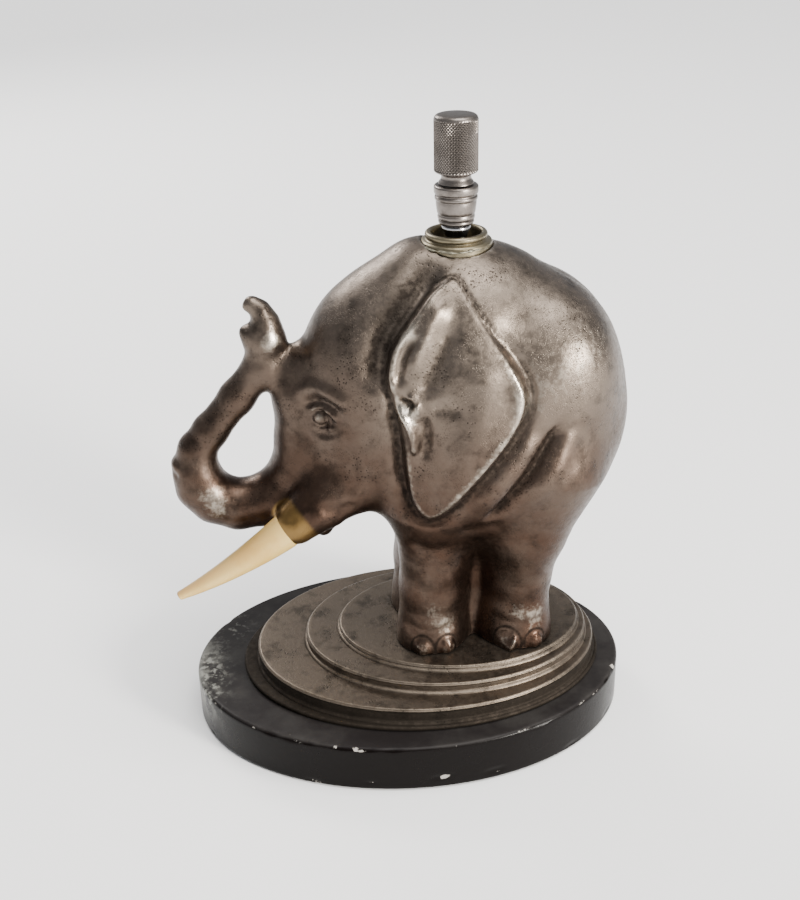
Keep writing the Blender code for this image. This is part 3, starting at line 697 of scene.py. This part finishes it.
def strokeShapes(p):
    # each stroke's height in mm and its strength at every place
    q = p[:, [0, 2]]
    for lift, width, *points in figure["strokes"].values():
        d, along = lineDistance(q, curveThrough(points))
        fade = smoothStep(along, 0, 0.22) * smoothStep(1 - along, 0, 0.22)
        yield lift, d, width, 0.1 + 0.9 * fade


def sideShare(p):
    return smoothStep(np.abs(p[:, 1]), 4.0, 7.5)


def reliefHeight(p):
    # modelling pressed into both sides: ear, folds, creases and eyelids, in mm
    s, rear, seam = earPlaces(p)
    lift = figure["earLift"] * (0.45 + 0.55 * rear) * (1 - 0.88 * seam)
    height = lift * smoothStep(s, -0.5, 1.1) * (1 - 0.3 * smoothStep(s, 1.0, 10.0))
    height -= 0.75 * np.exp(-((s + 1.1) / 0.95) ** 2) * (1 - seam)
    height -= 0.45 * np.exp(-(s / 0.3) ** 2) * seam
    for lift, d, width, fade in strokeShapes(p):
        height += lift * np.exp(-(d / width) ** 2) * fade
    return height * sideShare(p)


def foldShadeAndRimHighlight(p):
    # dark patina left in the folds, deepened with painted shade in the creases, round the ear's edge and round
    # the nails, and a painted highlight just inside the ear's edge, strongest low on its rear
    s, rear, seam = earPlaces(p)
    patinaAndShade = 0.75 * np.exp(-((s + 0.9) / 0.9) ** 2) * (1 - seam) + 0.9 * np.exp(-(s / 0.28) ** 2) * seam
    for lift, d, width, fade in strokeShapes(p):
        if lift < 0:
            patinaAndShade = np.maximum(patinaAndShade, min(0.75, -lift * 0.6) * np.exp(-(d / width) ** 2) * fade)
    q = np.stack((p[:, 0], np.abs(p[:, 1]), p[:, 2]), axis=1)
    for centre, radius in figure["nails"]:
        d = np.linalg.norm((q - np.array(centre)) / np.array((1.15, 0.85, 1.25)), axis=1) - radius
        patinaAndShade = np.maximum(patinaAndShade, 0.9 * np.exp(-((d - 0.35) / 0.3) ** 2))
    lower = smoothStep(-p[:, 2], -88, -80)
    wearAndHighlight = (0.36 * np.exp(-((s - 1.3) / 1.4) ** 2) * rear * lower
            + 0.3 * np.exp(-((s - 0.7) / 0.6) ** 2) * (1 - rear))
    return patinaAndShade * sideShare(p), wearAndHighlight * sideShare(p)


def middleHeight(p):
    height = np.zeros(len(p))
    for lift, reach, (x, z) in figure["notches"]:
        height += lift * np.exp(-((p[:, 0] - x) ** 2 + (p[:, 2] - z) ** 2) / reach ** 2)
    return height


def surfaceAt(x, z):
    # how far out the side stands at one place
    y = np.linspace(26, 0, 521)
    d = skinDistance(np.stack((np.full(521, x), y, np.full(521, z)), axis=1))
    return float(y[np.argmax(d < 0)])


def waveHeight(p, size, seed):
    # slow hand-finished unevenness
    random = np.random.default_rng(seed)
    total = np.zeros(len(p))
    for _ in range(9):
        direction = random.normal(size=3)
        direction *= 2 * math.pi / (size * random.uniform(0.7, 1.6) * np.linalg.norm(direction))
        total += np.sin(p @ direction + random.uniform(0, 6.28))
    return total / 9


def ballTemplate(around=20, up=12):
    # points and faces of one unit ball, shared by every lump
    points = [(0, 0, 1), (0, 0, -1)]
    faces = []
    for i in range(1, up):
        t = math.pi * i / up
        for k in range(around):
            a = 2 * math.pi * k / around
            points.append((math.sin(t) * math.cos(a), math.sin(t) * math.sin(a), math.cos(t)))
    last = 2 + (up - 2) * around
    for k in range(around):
        after = (k + 1) % around
        faces.append((0, 2 + k, 2 + after))
        faces.append((1, last + after, last + k))
        for i in range(up - 2):
            row = 2 + i * around
            faces.append((row + k, row + around + k, row + around + after, row + after))
    return np.array(points, float), faces


def roughFigure():
    ball, faces = ballTemplate()
    spots = []
    for side in (1, -1):
        for (x, y, z), radii in figure["balls"].values():
            spots.append(((x, y * side, z), radii))
        for points in figure["limbs"].values():
            for (a, ra), (b, rb) in zip(points, points[1:]):
                parts = max(1, int(math.dist(a, b) / 1.6))
                for k in range(parts + 1):
                    x, y, z = [a[i] + (b[i] - a[i]) * k / parts for i in range(3)]
                    r = ra + (rb - ra) * k / parts
                    spots.append(((x, y * side, z), (r, r, r)))
    allPoints, allFaces = [], []
    for centre, radii in spots:
        base = len(allPoints) * len(ball)
        allPoints.append((ball * np.array(radii) + np.array(centre)) * mm)
        allFaces += [tuple(base + v for v in f) for f in faces]
    mesh = bpy.data.meshes.new("elephantCasting")
    mesh.from_pydata(np.vstack(allPoints).tolist(), [], allFaces)
    return newObject("elephantCasting", mesh)


def voxelSkin(item, size):
    skin = item.modifiers.new("skin", "REMESH")
    skin.mode = "VOXEL"
    skin.voxel_size = size * mm
    applyModifiers(item)


def settle(p, rounds=4):
    for _ in range(rounds):
        d = np.clip(skinDistance(p), -0.9, 0.9)
        p = p - d[:, None] * skinSlope(p)
    return p


def markMasks(item):
    # wear-and-highlight and patina-and-shade masks from the mesh's own curvature and the rubbed places: raised
    # places bright with wear and painted highlights, hollows dark with patina and painted shade
    mesh = item.data
    p = pointsOf(mesh) / mm
    edges = edgesOf(mesh)
    normals = vectorsOf(mesh, "normal")
    soft = relax(p, edges, 14)
    bend = np.einsum("ij,ij->i", p - soft, normals)
    fine = np.einsum("ij,ij->i", p - relax(p, edges, 4), normals)
    wide = relax(bend, edges, 6)
    foldPatinaAndShade, rimHighlight = foldShadeAndRimHighlight(p)
    wearAndHighlight = np.clip(wide / 0.16, 0, 1) * 0.4 + np.clip(fine / 0.06, 0, 1) * 0.12 + rimHighlight
    patinaAndShade = np.maximum(np.clip(-wide / 0.14, 0, 1) * 0.6 + np.clip(-fine / 0.06, 0, 1) * 0.15, foldPatinaAndShade)
    q = p.copy()
    q[:, 1] = np.abs(q[:, 1])
    for centre, reach, strength in figure["rubbedAndHighlit"]:
        d = np.linalg.norm(q - np.array(centre), axis=1)
        wearAndHighlight += strength * np.exp(-(d / reach) ** 2)
    addMask(mesh, "wearAndHighlight", wearAndHighlight)
    spot, reach = figure["gilt"]
    addMask(mesh, "gilt", smoothStep(-np.linalg.norm(q - np.array(spot), axis=1), -reach, -reach * 0.86))
    addMask(mesh, "patinaAndShade", relax(patinaAndShade, edges, 2))
    # painted shade mask: darker on the head, low down and at the rear end
    head = smoothStep(-p[:, 0], 0, 14) * smoothStep(-p[:, 2], -98, -78)
    low = smoothStep(-p[:, 2], -80, -48)
    addMask(mesh, "headAndLowShade", np.clip(0.75 * head + 0.95 * low + 0.25 * smoothStep(p[:, 0], 30, 44), 0, 1))


def makeFigure():
    fine = figure["voxelFine"]
    item = roughFigure()
    voxelSkin(item, figure["voxelRough"])
    p = settle(pointsOf(item.data) / mm)
    p = p + skinSlope(p) * (reliefHeight(p) + middleHeight(p))[:, None]
    setPoints(item.data, p * mm)
    ball, faces = ballTemplate(32, 20)
    eye = figure["eye"]
    x, z = eye["place"]
    y = surfaceAt(x, z) - eye["sink"]
    points = [(ball * eye["radius"] + np.array((x, y * side, z))) * mm for side in (1, -1)]
    eyes = bpy.data.meshes.new("eyes")
    eyes.from_pydata(np.vstack(points).tolist(), [], faces + [tuple(v + len(ball) for v in f) for f in faces])
    joined = bmesh.new()
    joined.from_mesh(item.data)
    joined.from_mesh(eyes)
    joined.to_mesh(item.data)
    joined.free()
    voxelSkin(item, fine)
    mesh = item.data
    p = relax(pointsOf(mesh) / mm, edgesOf(mesh), 2)
    calm = 0.35 + 0.65 * smoothStep(p[:, 2], 44, 56)
    wave = calm * (0.07 * waveHeight(p, 10.0, 3) + 0.03 * waveHeight(p, 3.5, 5))
    p = p + vectorsOf(mesh, "normal") * wave[:, None]
    setPoints(mesh, p * mm)
    top = figure["cutTop"]
    for name, radius, floor in (("seatCut", figure["seatRadius"], collarLow.z + figure["seatLift"]),
                                ("boreCut", figure["boreRadius"], figure["boreFloor"])):
        profile = [(0, top), (radius, top), (radius, floor), (0, floor)]
        cutWith(item, spinPiece(name, profile, 64, (wellX, 0)))
    p = pointsOf(item.data)
    p[:, 2] = np.maximum(p[:, 2], footZ * mm)
    setPoints(item.data, p)
    markMasks(item)
    item.data.shade_smooth()
    return place(item, figureFinish, mainBody, "figure_bronze", "elephant_body")


makeFigure()
print("figure ready")

# tusks
tusk = {
    "root": (-23.6, 9.5, 47.3), "aim": (-21.9, 3.0, -11.8), "length": 25.2, "stump": 3.6,
    "rootRadius": 3.6, "tipRadius": 0.9, "sag": 0.9, "rings": 90, "sides": 72,
}


def makeTusk(name, side, length, node):
    x, y, z = tusk["root"]
    root = Vector((x, y * side, z))
    aim = Vector((tusk["aim"][0], tusk["aim"][1] * side, tusk["aim"][2])).normalized()
    across = Vector((0, 0, 1)).cross(aim).normalized()
    over = aim.cross(across)
    random = np.random.default_rng(4 if side > 0 else 9)
    bends = random.uniform(0, 6.28, 6)
    rings, sides = tusk["rings"], tusk["sides"]
    form = bmesh.new()
    loops, seam, top = [], [], []
    for k in range(rings + 9):
        along = -1.2 + (length + 1.2) * min(k, rings - 1) / (rings - 1)
        share = max(along, 0) / tusk["length"]
        radius = tusk["rootRadius"] + (tusk["tipRadius"] - tusk["rootRadius"]) * share ** 1.12
        end = max(k - rings + 1, 0) / 9 * math.pi / 2
        along += math.sin(end) * min(radius, 0.4)
        radius *= max(math.cos(end), 0.02)
        radius *= 1 - 0.035 * math.exp(-((along - 0.25) / 0.3) ** 2)
        middle = root + aim * along - Vector((0, 0, tusk["sag"] * 4 * share * (1 - share)))
        ring = []
        for j in range(sides):
            t = 2 * math.pi * j / sides
            r = radius * (1 + 0.012 * math.sin(2 * t + bends[0] + share * 3)
                          + 0.006 * math.sin(5 * t + bends[1])
                          + 0.006 * math.sin(3 * t + bends[2] + share * 9))
            ring.append(form.verts.new((middle + across * math.cos(t) * r + over * math.sin(t) * r) * mm))
            seam.append(math.exp(-(max(along, 0) / 0.35) ** 2))
            top.append(smoothStep(math.sin(t), -0.15, 0.9) * (0.35 + 0.65 * share)
                       + 0.35 * smoothStep(-math.sin(t), 0.55, 1.0))
        loops.append(ring)
    skinLoops(form, loops)
    bmesh.ops.recalc_face_normals(form, faces=form.faces)
    item = newObject(name, meshFromForm(name, form))
    addMask(item.data, "seam", np.array(seam))
    addMask(item.data, "top", np.clip(np.array(top), 0, 1))
    smoothShade(item, 60)
    return place(item, ivoryFinish, mainBody, "ivory_resin", node)


makeTusk("tuskNear", -1, tusk["length"], "tusk_left")
makeTusk("tuskFar", 1, tusk["stump"], "tusk_right")
print("tusks ready")

# base and plinth
base = {
    "halfLength": 45.0, "halfWidth": 33.0, "bottom": 0.4, "top": 10.1, "pocket": 1.7, "rim": 1.2,
    "edge": 0.8, "sides": 360, "sideRings": 26, "chips": 26, "nearChips": 16,
}
plinth = {
    "bottom": 10.4, "foot": (37.8, 28.0, 2.8, 0.8),
    "tiers": ((35.6, 26.9, 3.8, 3.4), (29.6, 22.3, 8.1, 2.4), (25.3, 18.5, 10.8, 1.3)),
    "sides": 300, "feet": ((4.2, 7), (22, 7)),
    # outline of each step, outwards and up: a bead at its foot, and from its top down, a second bead and lip
    "bead": ((0.62, 0.0), (0.60, 0.10), (0.52, 0.25), (0.40, 0.38), (0.26, 0.46), (0.14, 0.50), (0.06, 0.56)),
    "lip": ((0.02, 0.66), (0.10, 0.60), (0.16, 0.50), (0.16, 0.42), (0.08, 0.34), (0.02, 0.31), (0.0, 0.26),
            (-0.04, 0.16), (-0.12, 0.07), (-0.25, 0.015), (-0.42, 0.0)),
}


def makeBase():
    a, b, low, high = base["halfLength"], base["halfWidth"], base["bottom"], base["top"]
    edge, rim = base["edge"], base["rim"]
    rings = [(a * k - rim, b * k - rim, 0, base["pocket"]) for k in (0.4, 0.8, 1)]
    for inset, lift in ((rim, 0.1), (rim - 0.15, 0), (0.25, 0), (0.07, 0.08)):
        rings.append((a - inset, b - inset, 0, low + lift))
    start, count = low + 0.25, base["sideRings"]
    rings += [(a, b, 0, start + (high - edge - start) * k / count) for k in range(count + 1)]
    for k in range(1, 7):
        t = math.pi / 2 * k / 6
        inset = edge * (1 - math.cos(t))
        rings.append((a - inset, b - inset, 0, high - edge + edge * math.sin(t)))
    rings += [(a - edge - 0.45 * k, b - edge - 0.42 * k, 0, high) for k in range(1, 26)]
    rings += [(26, 18, 0, high), (12, 8, 0, high)]
    item = ovalShell("baseBlock", rings, base["sides"])
    mesh = item.data
    p = pointsOf(mesh) / mm
    reach = np.hypot(p[:, 0] / a, p[:, 1] / b)
    # chips knocked out of the two edges
    random = np.random.default_rng(12)
    chip = np.zeros(len(p))
    for k in range(base["chips"]):
        t = random.uniform(-2.3, -0.35) if k < base["nearChips"] else random.uniform(0, 6.28)
        z = low + 0.2 + abs(random.normal(0, 1.3)) if k % 3 == 0 else high - 0.25
        spot = np.array((a * math.cos(t), b * math.sin(t), z))
        size = random.uniform(0.35, 1.1)
        stretch = (p - spot) / np.array((size * 1.9, size * 1.9, size * 0.6))
        chip = np.maximum(chip, np.exp(-(np.linalg.norm(stretch, axis=1)) ** 4))
    out = p * np.array((1 / a, 1 / b, 0))
    out /= np.maximum(np.linalg.norm(out, axis=1), 1e-6)[:, None]
    p = p - out * (0.14 * chip * (p[:, 2] > low + 0.1))[:, None]
    p[:, 2] -= 0.10 * chip * (p[:, 2] > high - edge)
    setPoints(mesh, p * mm)
    # painted highlight line along the top edge, joined to the chips in the wear-and-highlight mask
    edgeHighlight = np.exp(-((p[:, 2] - (high - 0.3)) / 0.28) ** 2) * smoothStep(reach, 0.975, 0.99)
    addMask(mesh, "wearAndHighlight", np.clip(0.55 * edgeHighlight + chip, 0, 1.2))
    addMask(mesh, "top", smoothStep(p[:, 2], high - 0.5, high - 0.05) * smoothStep(reach, 0.2, 0.5))
    left = np.linalg.norm((p - np.array((-43.5, -6.0, high))) / np.array((3.4, 10.0, 5.0)), axis=1)
    far = np.linalg.norm((p - np.array((-38.0, 14.0, high))) / np.array((3.5, 4.5, 3.0)), axis=1)
    addMask(mesh, "patch", np.clip(np.exp(-left ** 2) * 1.6 + 0.5 * np.exp(-far ** 2), 0, 1))
    smoothShade(item, 35)
    return place(item, lacquerFinish, mainBody, "black_lacquer", "base_block")


def plinthRings():
    # every step is a bead, a plain side, a fine second bead and a rounded lip
    bead, lip = plinth["bead"], plinth["lip"]
    reach, beadTop = bead[0][0], bead[-1][1]
    inset, lipDepth = -lip[-1][0], lip[0][1]
    a, b, x, rise = plinth["foot"]
    level = plinth["bottom"]
    rings = [(a * k, b * k, x, level) for k in (0.3, 0.6, 0.9)]
    for out, up in ((0, 0), (0.06, 0.15), (0.08, 0.35), (0.02, 0.55), (-0.12, 0.7), (-0.3, rise)):
        rings.append((a + out, b + out, x, level + up))
    level += rise
    for step, (a, b, x, rise) in enumerate(plinth["tiers"]):
        rings += [(a + out, b + out, x, level + up) for out, up in bead]
        side = rise - beadTop - lipDepth
        if side > 0.3:
            rings += [(a + 0.02, b + 0.02, x, level + beadTop + side * k / 6) for k in range(1, 6)]
        level += rise
        rings += [(a + out, b + out, x, level - drop) for out, drop in lip]
        if step < len(plinth["tiers"]) - 1:
            after = plinth["tiers"][step + 1]
            start, end = (a - inset, b - inset, x), (after[0] + reach, after[1] + reach, after[2])
            for share in (0.12, 0.3, 0.5, 0.7, 0.82, 0.91, 0.97):
                rings.append(tuple(u + (v - u) * share for u, v in zip(start, end)) + (level,))
    for share in (0.97, 0.92, 0.85, 0.75, 0.62, 0.5, 0.35, 0.2, 0.1):
        rings.append(((a - inset) * share, (b - inset) * share, x, level))
    return rings


def makePlinth():
    item = ovalShell("plinthSteps", plinthRings(), plinth["sides"])
    mesh, bottom = item.data, plinth["bottom"]
    p = pointsOf(mesh) / mm
    p[:, 2] += 0.018 * waveHeight(p, 16, 21) * (p[:, 2] > bottom + 0.3)
    setPoints(mesh, p * mm)
    normals = vectorsOf(mesh, "normal")
    bend = np.einsum("ij,ij->i", p - relax(p, edgesOf(mesh), 3), normals)
    foot = smoothStep(-p[:, 2], -bottom - 1.7, -bottom - 1.2)
    # raised edges lighter: wear together with painted edge highlights, less on the foot under the lowest step
    addMask(mesh, "wearAndHighlight", (np.clip(bend / 0.05, 0, 1) * 0.7 + 0.1) * (1 - 0.75 * foot))
    # darker on the sides of the lowest step, on its foot and round the elephant's feet
    low = smoothStep(-p[:, 2], -bottom - 4.0, -bottom - 3.2) * smoothStep(-normals[:, 2], -0.8, -0.3)
    low = np.maximum(low, foot)
    legs = np.min([np.hypot(p[:, 0] - x, np.abs(p[:, 1]) - y) for x, y in plinth["feet"]], axis=0)
    around = smoothStep(-legs, -12, -7.5) * (p[:, 2] > bottom + 7)
    addMask(mesh, "patinaAndShade", np.clip(-bend / 0.05, 0, 1) * 0.6 + 0.85 * low + 0.45 * around)
    smoothShade(item, 60)
    return place(item, plinthFinish, mainBody, "plinth_bronze", "plinth")


makeBase()
makePlinth()
print("base and plinth ready")

# collar, wand and flint
rimZ, stemZ = collarHigh.z, collarLow.z
plugLow, plugHigh = boxMm("wand_plug")
headLow, headHigh = boxMm("wand_head")
rodLow, rodHigh = boxMm("wand_rod")


def makeCollar():
    # radius and height up from the stem's end, then radius and depth below the rim
    stem = ((3.45, 0), (3.45, 1.5), (3.9, 3.3), (4.6, 6.0))
    rim = ((4.68, 0.7), (4.72, 0.35), (4.84, 0.12), (5.05, 0), (5.35, 0), (5.6, 0.1), (5.78, 0.3), (5.84, 0.55),
           (5.80, 0.85), (5.66, 1.05), (5.58, 1.2), (5.66, 1.34), (5.95, 1.42), (6.3, 1.5), (6.55, 1.66),
           (6.67, 1.9), (6.7, 2.2), (6.7, 3.8), (5.5, 3.8))
    profile = [(r, stemZ + up) for r, up in stem] + [(r, rimZ - drop) for r, drop in rim] + [(5.5, stemZ)]
    item = spinPiece("collarRing", profile, 160, (wellX, 0))
    return place(item, brassFinish, mainBody, "brass", "collar")


def makeSolder():
    # run of solder round part of the collar's foot
    form = bmesh.new()
    random = np.random.default_rng(31)
    loops = []
    count, sides = 120, 14
    for k in range(count + 1):
        t = math.radians(165 + 150 * k / count)
        thick = 0.34 + 0.16 * math.sin(k * 0.21) + 0.10 * math.sin(k * 0.53 + 1) + random.uniform(-0.02, 0.02)
        thick *= math.sin(math.pi * min(max(k / count, 0.01), 0.99)) ** 0.35
        out = Vector((math.cos(t), math.sin(t), 0))
        spot = out * (6.95 + 0.16 * math.sin(k * 0.17))
        spot += Vector((wellX, 0, rimZ - 2.15 - 0.1 * math.sin(k * 0.11)))
        loops.append([form.verts.new((spot + out * thick * math.cos(u)
                                      + Vector((0, 0, 0.62 * thick * math.sin(u)))) * mm)
                      for u in [2 * math.pi * j / sides for j in range(sides)]])
    skinLoops(form, loops)
    bmesh.ops.recalc_face_normals(form, faces=form.faces)
    item = newObject("solderRun", meshFromForm("solderRun", form))
    smoothShade(item, 60)
    return place(item, solderFinish, mainBody, "brass")


wand = {
    "pitch": 0.62, "around": 44, "depth": 0.24, "steps": 6, "headRadius": 4.05, "neckRadius": 2.75,
    "plugRadius": 4.1,
}


def makeHead():
    # domed grip with a true diamond knurl, and the waisted neck under it
    low, high = headLow.z, headHigh.z
    under = low + 2.0
    r = wand["headRadius"]
    n = wand["neckRadius"]
    plain = [(n + 0.5, low), (n + 0.42, low + 0.3), (n + 0.1, low + 0.65), (n, low + 0.95), (n, under - 0.62),
             (n + 0.15, under - 0.4), (r - 0.55, under - 0.12), (r - 0.25, under), (r - 0.08, under + 0.16)]
    rows = [(a, z, 0.0) for a, z in plain]
    start, end = under + 0.3, high - 1.0
    count = int((end - start) / wand["pitch"] * wand["steps"])
    for k in range(count + 1):
        z = start + (end - start) * k / count
        fade = float(smoothStep(z, start - 0.2, start + 0.25) * smoothStep(-z, -end - 0.1, -end + 0.25))
        rows.append((r, z, fade))
    for k in range(1, 8):
        t = math.pi / 2 * k / 7
        rows.append((r - 0.06 - 0.85 * (1 - math.cos(t)), high - 1.0 + 0.84 * math.sin(t), 0.0))
    rows += [(r * 0.6, high - 0.07, 0.0), (r * 0.35, high - 0.02, 0.0), (r * 0.12, high, 0.0)]
    sides = wand["around"] * wand["steps"]
    form = bmesh.new()
    loops, grooveDark = [], []
    for radius, z, fade in rows:
        ring = []
        for k in range(sides):
            t = k / sides
            u, v = t * wand["around"], z / wand["pitch"]
            cut = min(abs(2 * ((u + v) % 1) - 1), abs(2 * ((u - v) % 1) - 1))
            out = radius - fade * wand["depth"] * (1 - min(cut * 1.25, 1.0))
            grooveDark.append(fade * (1 - min(cut * 1.8, 1.0)))
            ring.append(form.verts.new(((wellX + out * math.cos(2 * math.pi * t)) * mm,
                                        out * math.sin(2 * math.pi * t) * mm, z * mm)))
        loops.append(ring)
    skinLoops(form, loops)
    item = newObject("wandHead", meshFromForm("wandHead", form))
    # the knurl's grooves marked darker
    addMask(item.data, "patinaAndShade", np.array(grooveDark))
    smoothShade(item, 38)
    return place(item, nickelFinish, wandBody, "nickel", "wand_head")


def makePlug():
    # turned stopper: how far in from its widest, and how far below its top
    steps = ((0.5, 0), (0.2, 0.05), (0.05, 0.2), (0, 0.42), (0.02, 1.3), (0.1, 1.5), (0.34, 1.62), (0.42, 1.78),
             (0.36, 1.94), (0.18, 2.04), (0.14, 2.2), (0.16, 2.55), (0.3, 2.68), (0.38, 2.8), (0.34, 2.95),
             (0.36, 3.6), (0.5, 4.6), (0.58, 5.1), (0.72, 5.22), (0.76, 5.36), (0.68, 5.5), (0.64, 5.8),
             (0.68, 6.15), (0.84, 6.28), (0.88, 6.42), (0.78, 6.55), (0.78, 6.85), (0.95, 7.1))
    high, low, r = plugHigh.z, plugLow.z, wand["plugRadius"]
    profile = [(0, high)] + [(r - inset, high - drop) for inset, drop in steps] + [(r - 1.15, low), (0, low)]
    item = spinPiece("wandPlug", profile, 128, (wellX, 0))
    return place(item, nickelFinish, wandBody, "nickel", "wand_plug")


def makeRod():
    # cone under the plug, then the straight rod with its open end for the wick
    high, low = rodHigh.z, rodLow.z
    cone = ((0, 0), (2.6, 0), (2.68, 0.1), (2.62, 0.62), (2.5, 0.8), (1.66, 2.75), (1.56, 3.0), (1.5, 3.3))
    end = ((1.5, 0.25), (1.36, 0), (0.95, 0), (0.95, 9), (0, 9))
    profile = [(r, high - drop) for r, drop in cone] + [(r, low + up) for r, up in end]
    item = spinPiece("wandRod", profile, 72, (wellX, 0))
    return place(item, steelFinish, wandBody, "steel", "wand_rod")


def roundedBlock(name, low, high, edge, cuts):
    # block with rounded edges, divided finely enough to carry wear
    form = bmesh.new()
    middle = (low + high) / 2
    size = high - low
    spot = Matrix.Translation(middle * mm) @ Matrix.Diagonal((*(size * mm), 1))
    bmesh.ops.create_cube(form, size=1, matrix=spot)
    bmesh.ops.bevel(form, geom=form.edges[:], offset=edge * mm, segments=3, profile=0.5, affect="EDGES")
    long = [e for e in form.edges if abs(e.verts[0].co.x - e.verts[1].co.x) > size.x * 0.5 * mm]
    bmesh.ops.subdivide_edges(form, edges=long, cuts=cuts, use_grid_fill=True)
    return newObject(name, meshFromForm(name, form))


def makeFlint():
    low, high = boxMm("flint_bar")
    item = roundedBlock("flintBar", low, high, 0.25, 70)
    p = pointsOf(item.data) / mm
    middle = (low.x + high.x) / 2
    top = smoothStep(p[:, 2], high.z - 0.5, high.z - 0.05)
    groove = np.abs(np.sin(p[:, 0] * 4.1 + np.sin(p[:, 0] * 1.7)))
    p[:, 2] -= top * (0.10 * groove + 0.25 * np.exp(-((p[:, 0] - middle) / 3.4) ** 2))
    setPoints(item.data, p * mm)
    smoothShade(item, 45)
    return place(item, flintFinish, mainBody, "flint", "flint_bar")


makeCollar()
makeSolder()
makeHead()
makePlug()
makeRod()
makeFlint()
for finish, slot, names in (
        (feltFinish, "felt", ("felt_pad",)),
        (brassFinish, "brass", ("flint_holder", "fuel_well")),
        (steelFinish, "steel", ("flint_screw_front", "flint_screw_rear", "frame_screw_front",
                                "frame_screw_rear", "frame_washer_front", "frame_washer_rear", "spark_tip")),
        (cottonFinish, "cotton", ("fuel_wadding", "wand_wick"))):
    for name in names:
        nodes[name].data.materials.clear()
        nodes[name].data.materials.append(finish)
print("collar, wand and flint ready")

# camera, floor and light
studio = {
    "target": (-0.82, 0.0, 58.12), "elevation": 26.05, "azimuth": -4.67, "distance": 251.6, "roll": -1.32,
    "lens": 50.56, "floorHalf": 6, "floorColour": (0.94, 0.94, 0.94, 1), "skyColour": (0.93, 0.95, 1.0, 1),
    "skyStrength": 0.5,
}


def makeCamera():
    e, a = math.radians(studio["elevation"]), math.radians(studio["azimuth"])
    back = Vector((math.sin(a) * math.cos(e), -math.cos(a) * math.cos(e), math.sin(e)))
    spot = Vector(studio["target"]) + back * studio["distance"]
    right = (-back).cross(Vector((0, 0, 1))).normalized()
    up = right.cross(-back)
    c, s = math.cos(math.radians(studio["roll"])), math.sin(math.radians(studio["roll"]))
    right, up = right * c + up * s, up * c - right * s
    data = bpy.data.cameras.new("camera")
    data.lens = studio["lens"]
    data.clip_start = 0.01
    camera = newObject("camera", data)
    turn = Matrix((right, up, back)).transposed().to_4x4()
    camera.matrix_world = Matrix.Translation(spot * mm) @ turn
    bpy.context.scene.camera = camera


def makeLight(name, spot, size, power, colour, aim=(0, 0, 0.06)):
    data = bpy.data.lights.new(name, "AREA")
    data.shape = "DISK"
    data.size = size
    data.energy = power
    data.color = colour
    light = newObject(name, data)
    light.location = spot
    light.rotation_euler = (Vector(aim) - Vector(spot)).to_track_quat("-Z", "Y").to_euler()


def makeStudio():
    form = bmesh.new()
    bmesh.ops.create_grid(form, x_segments=1, y_segments=1, size=studio["floorHalf"])
    floor = newObject("floor", meshFromForm("floor", form))
    floor.data.materials.append(startMaterial("paleFloor", Roughness=0.9, Base_Color=studio["floorColour"])[0])
    world = bpy.data.worlds.new("studio")
    world.use_nodes = True
    backdrop = world.node_tree.nodes["Background"]
    backdrop.inputs["Color"].default_value = studio["skyColour"]
    backdrop.inputs["Strength"].default_value = studio["skyStrength"]
    bpy.context.scene.world = world
    sky = bpy.data.lights.new("softSky", "SUN")
    sky.angle = math.radians(50)
    sky.energy = 4.4
    sky.color = (1.0, 0.985, 0.96)
    newObject("softSky", sky).rotation_euler = Vector((0.25, -0.2, 1.0)).to_track_quat("Z", "Y").to_euler()
    makeLight("keyLight", (0.56, -0.56, 0.25), 0.17, 14.0, (1.0, 0.96, 0.9), (0.02, 0, 0.075))
    makeLight("backLight", (-0.35, 0.6, 0.5), 0.35, 4.0, (1.0, 0.97, 0.94))


makeCamera()
makeStudio()
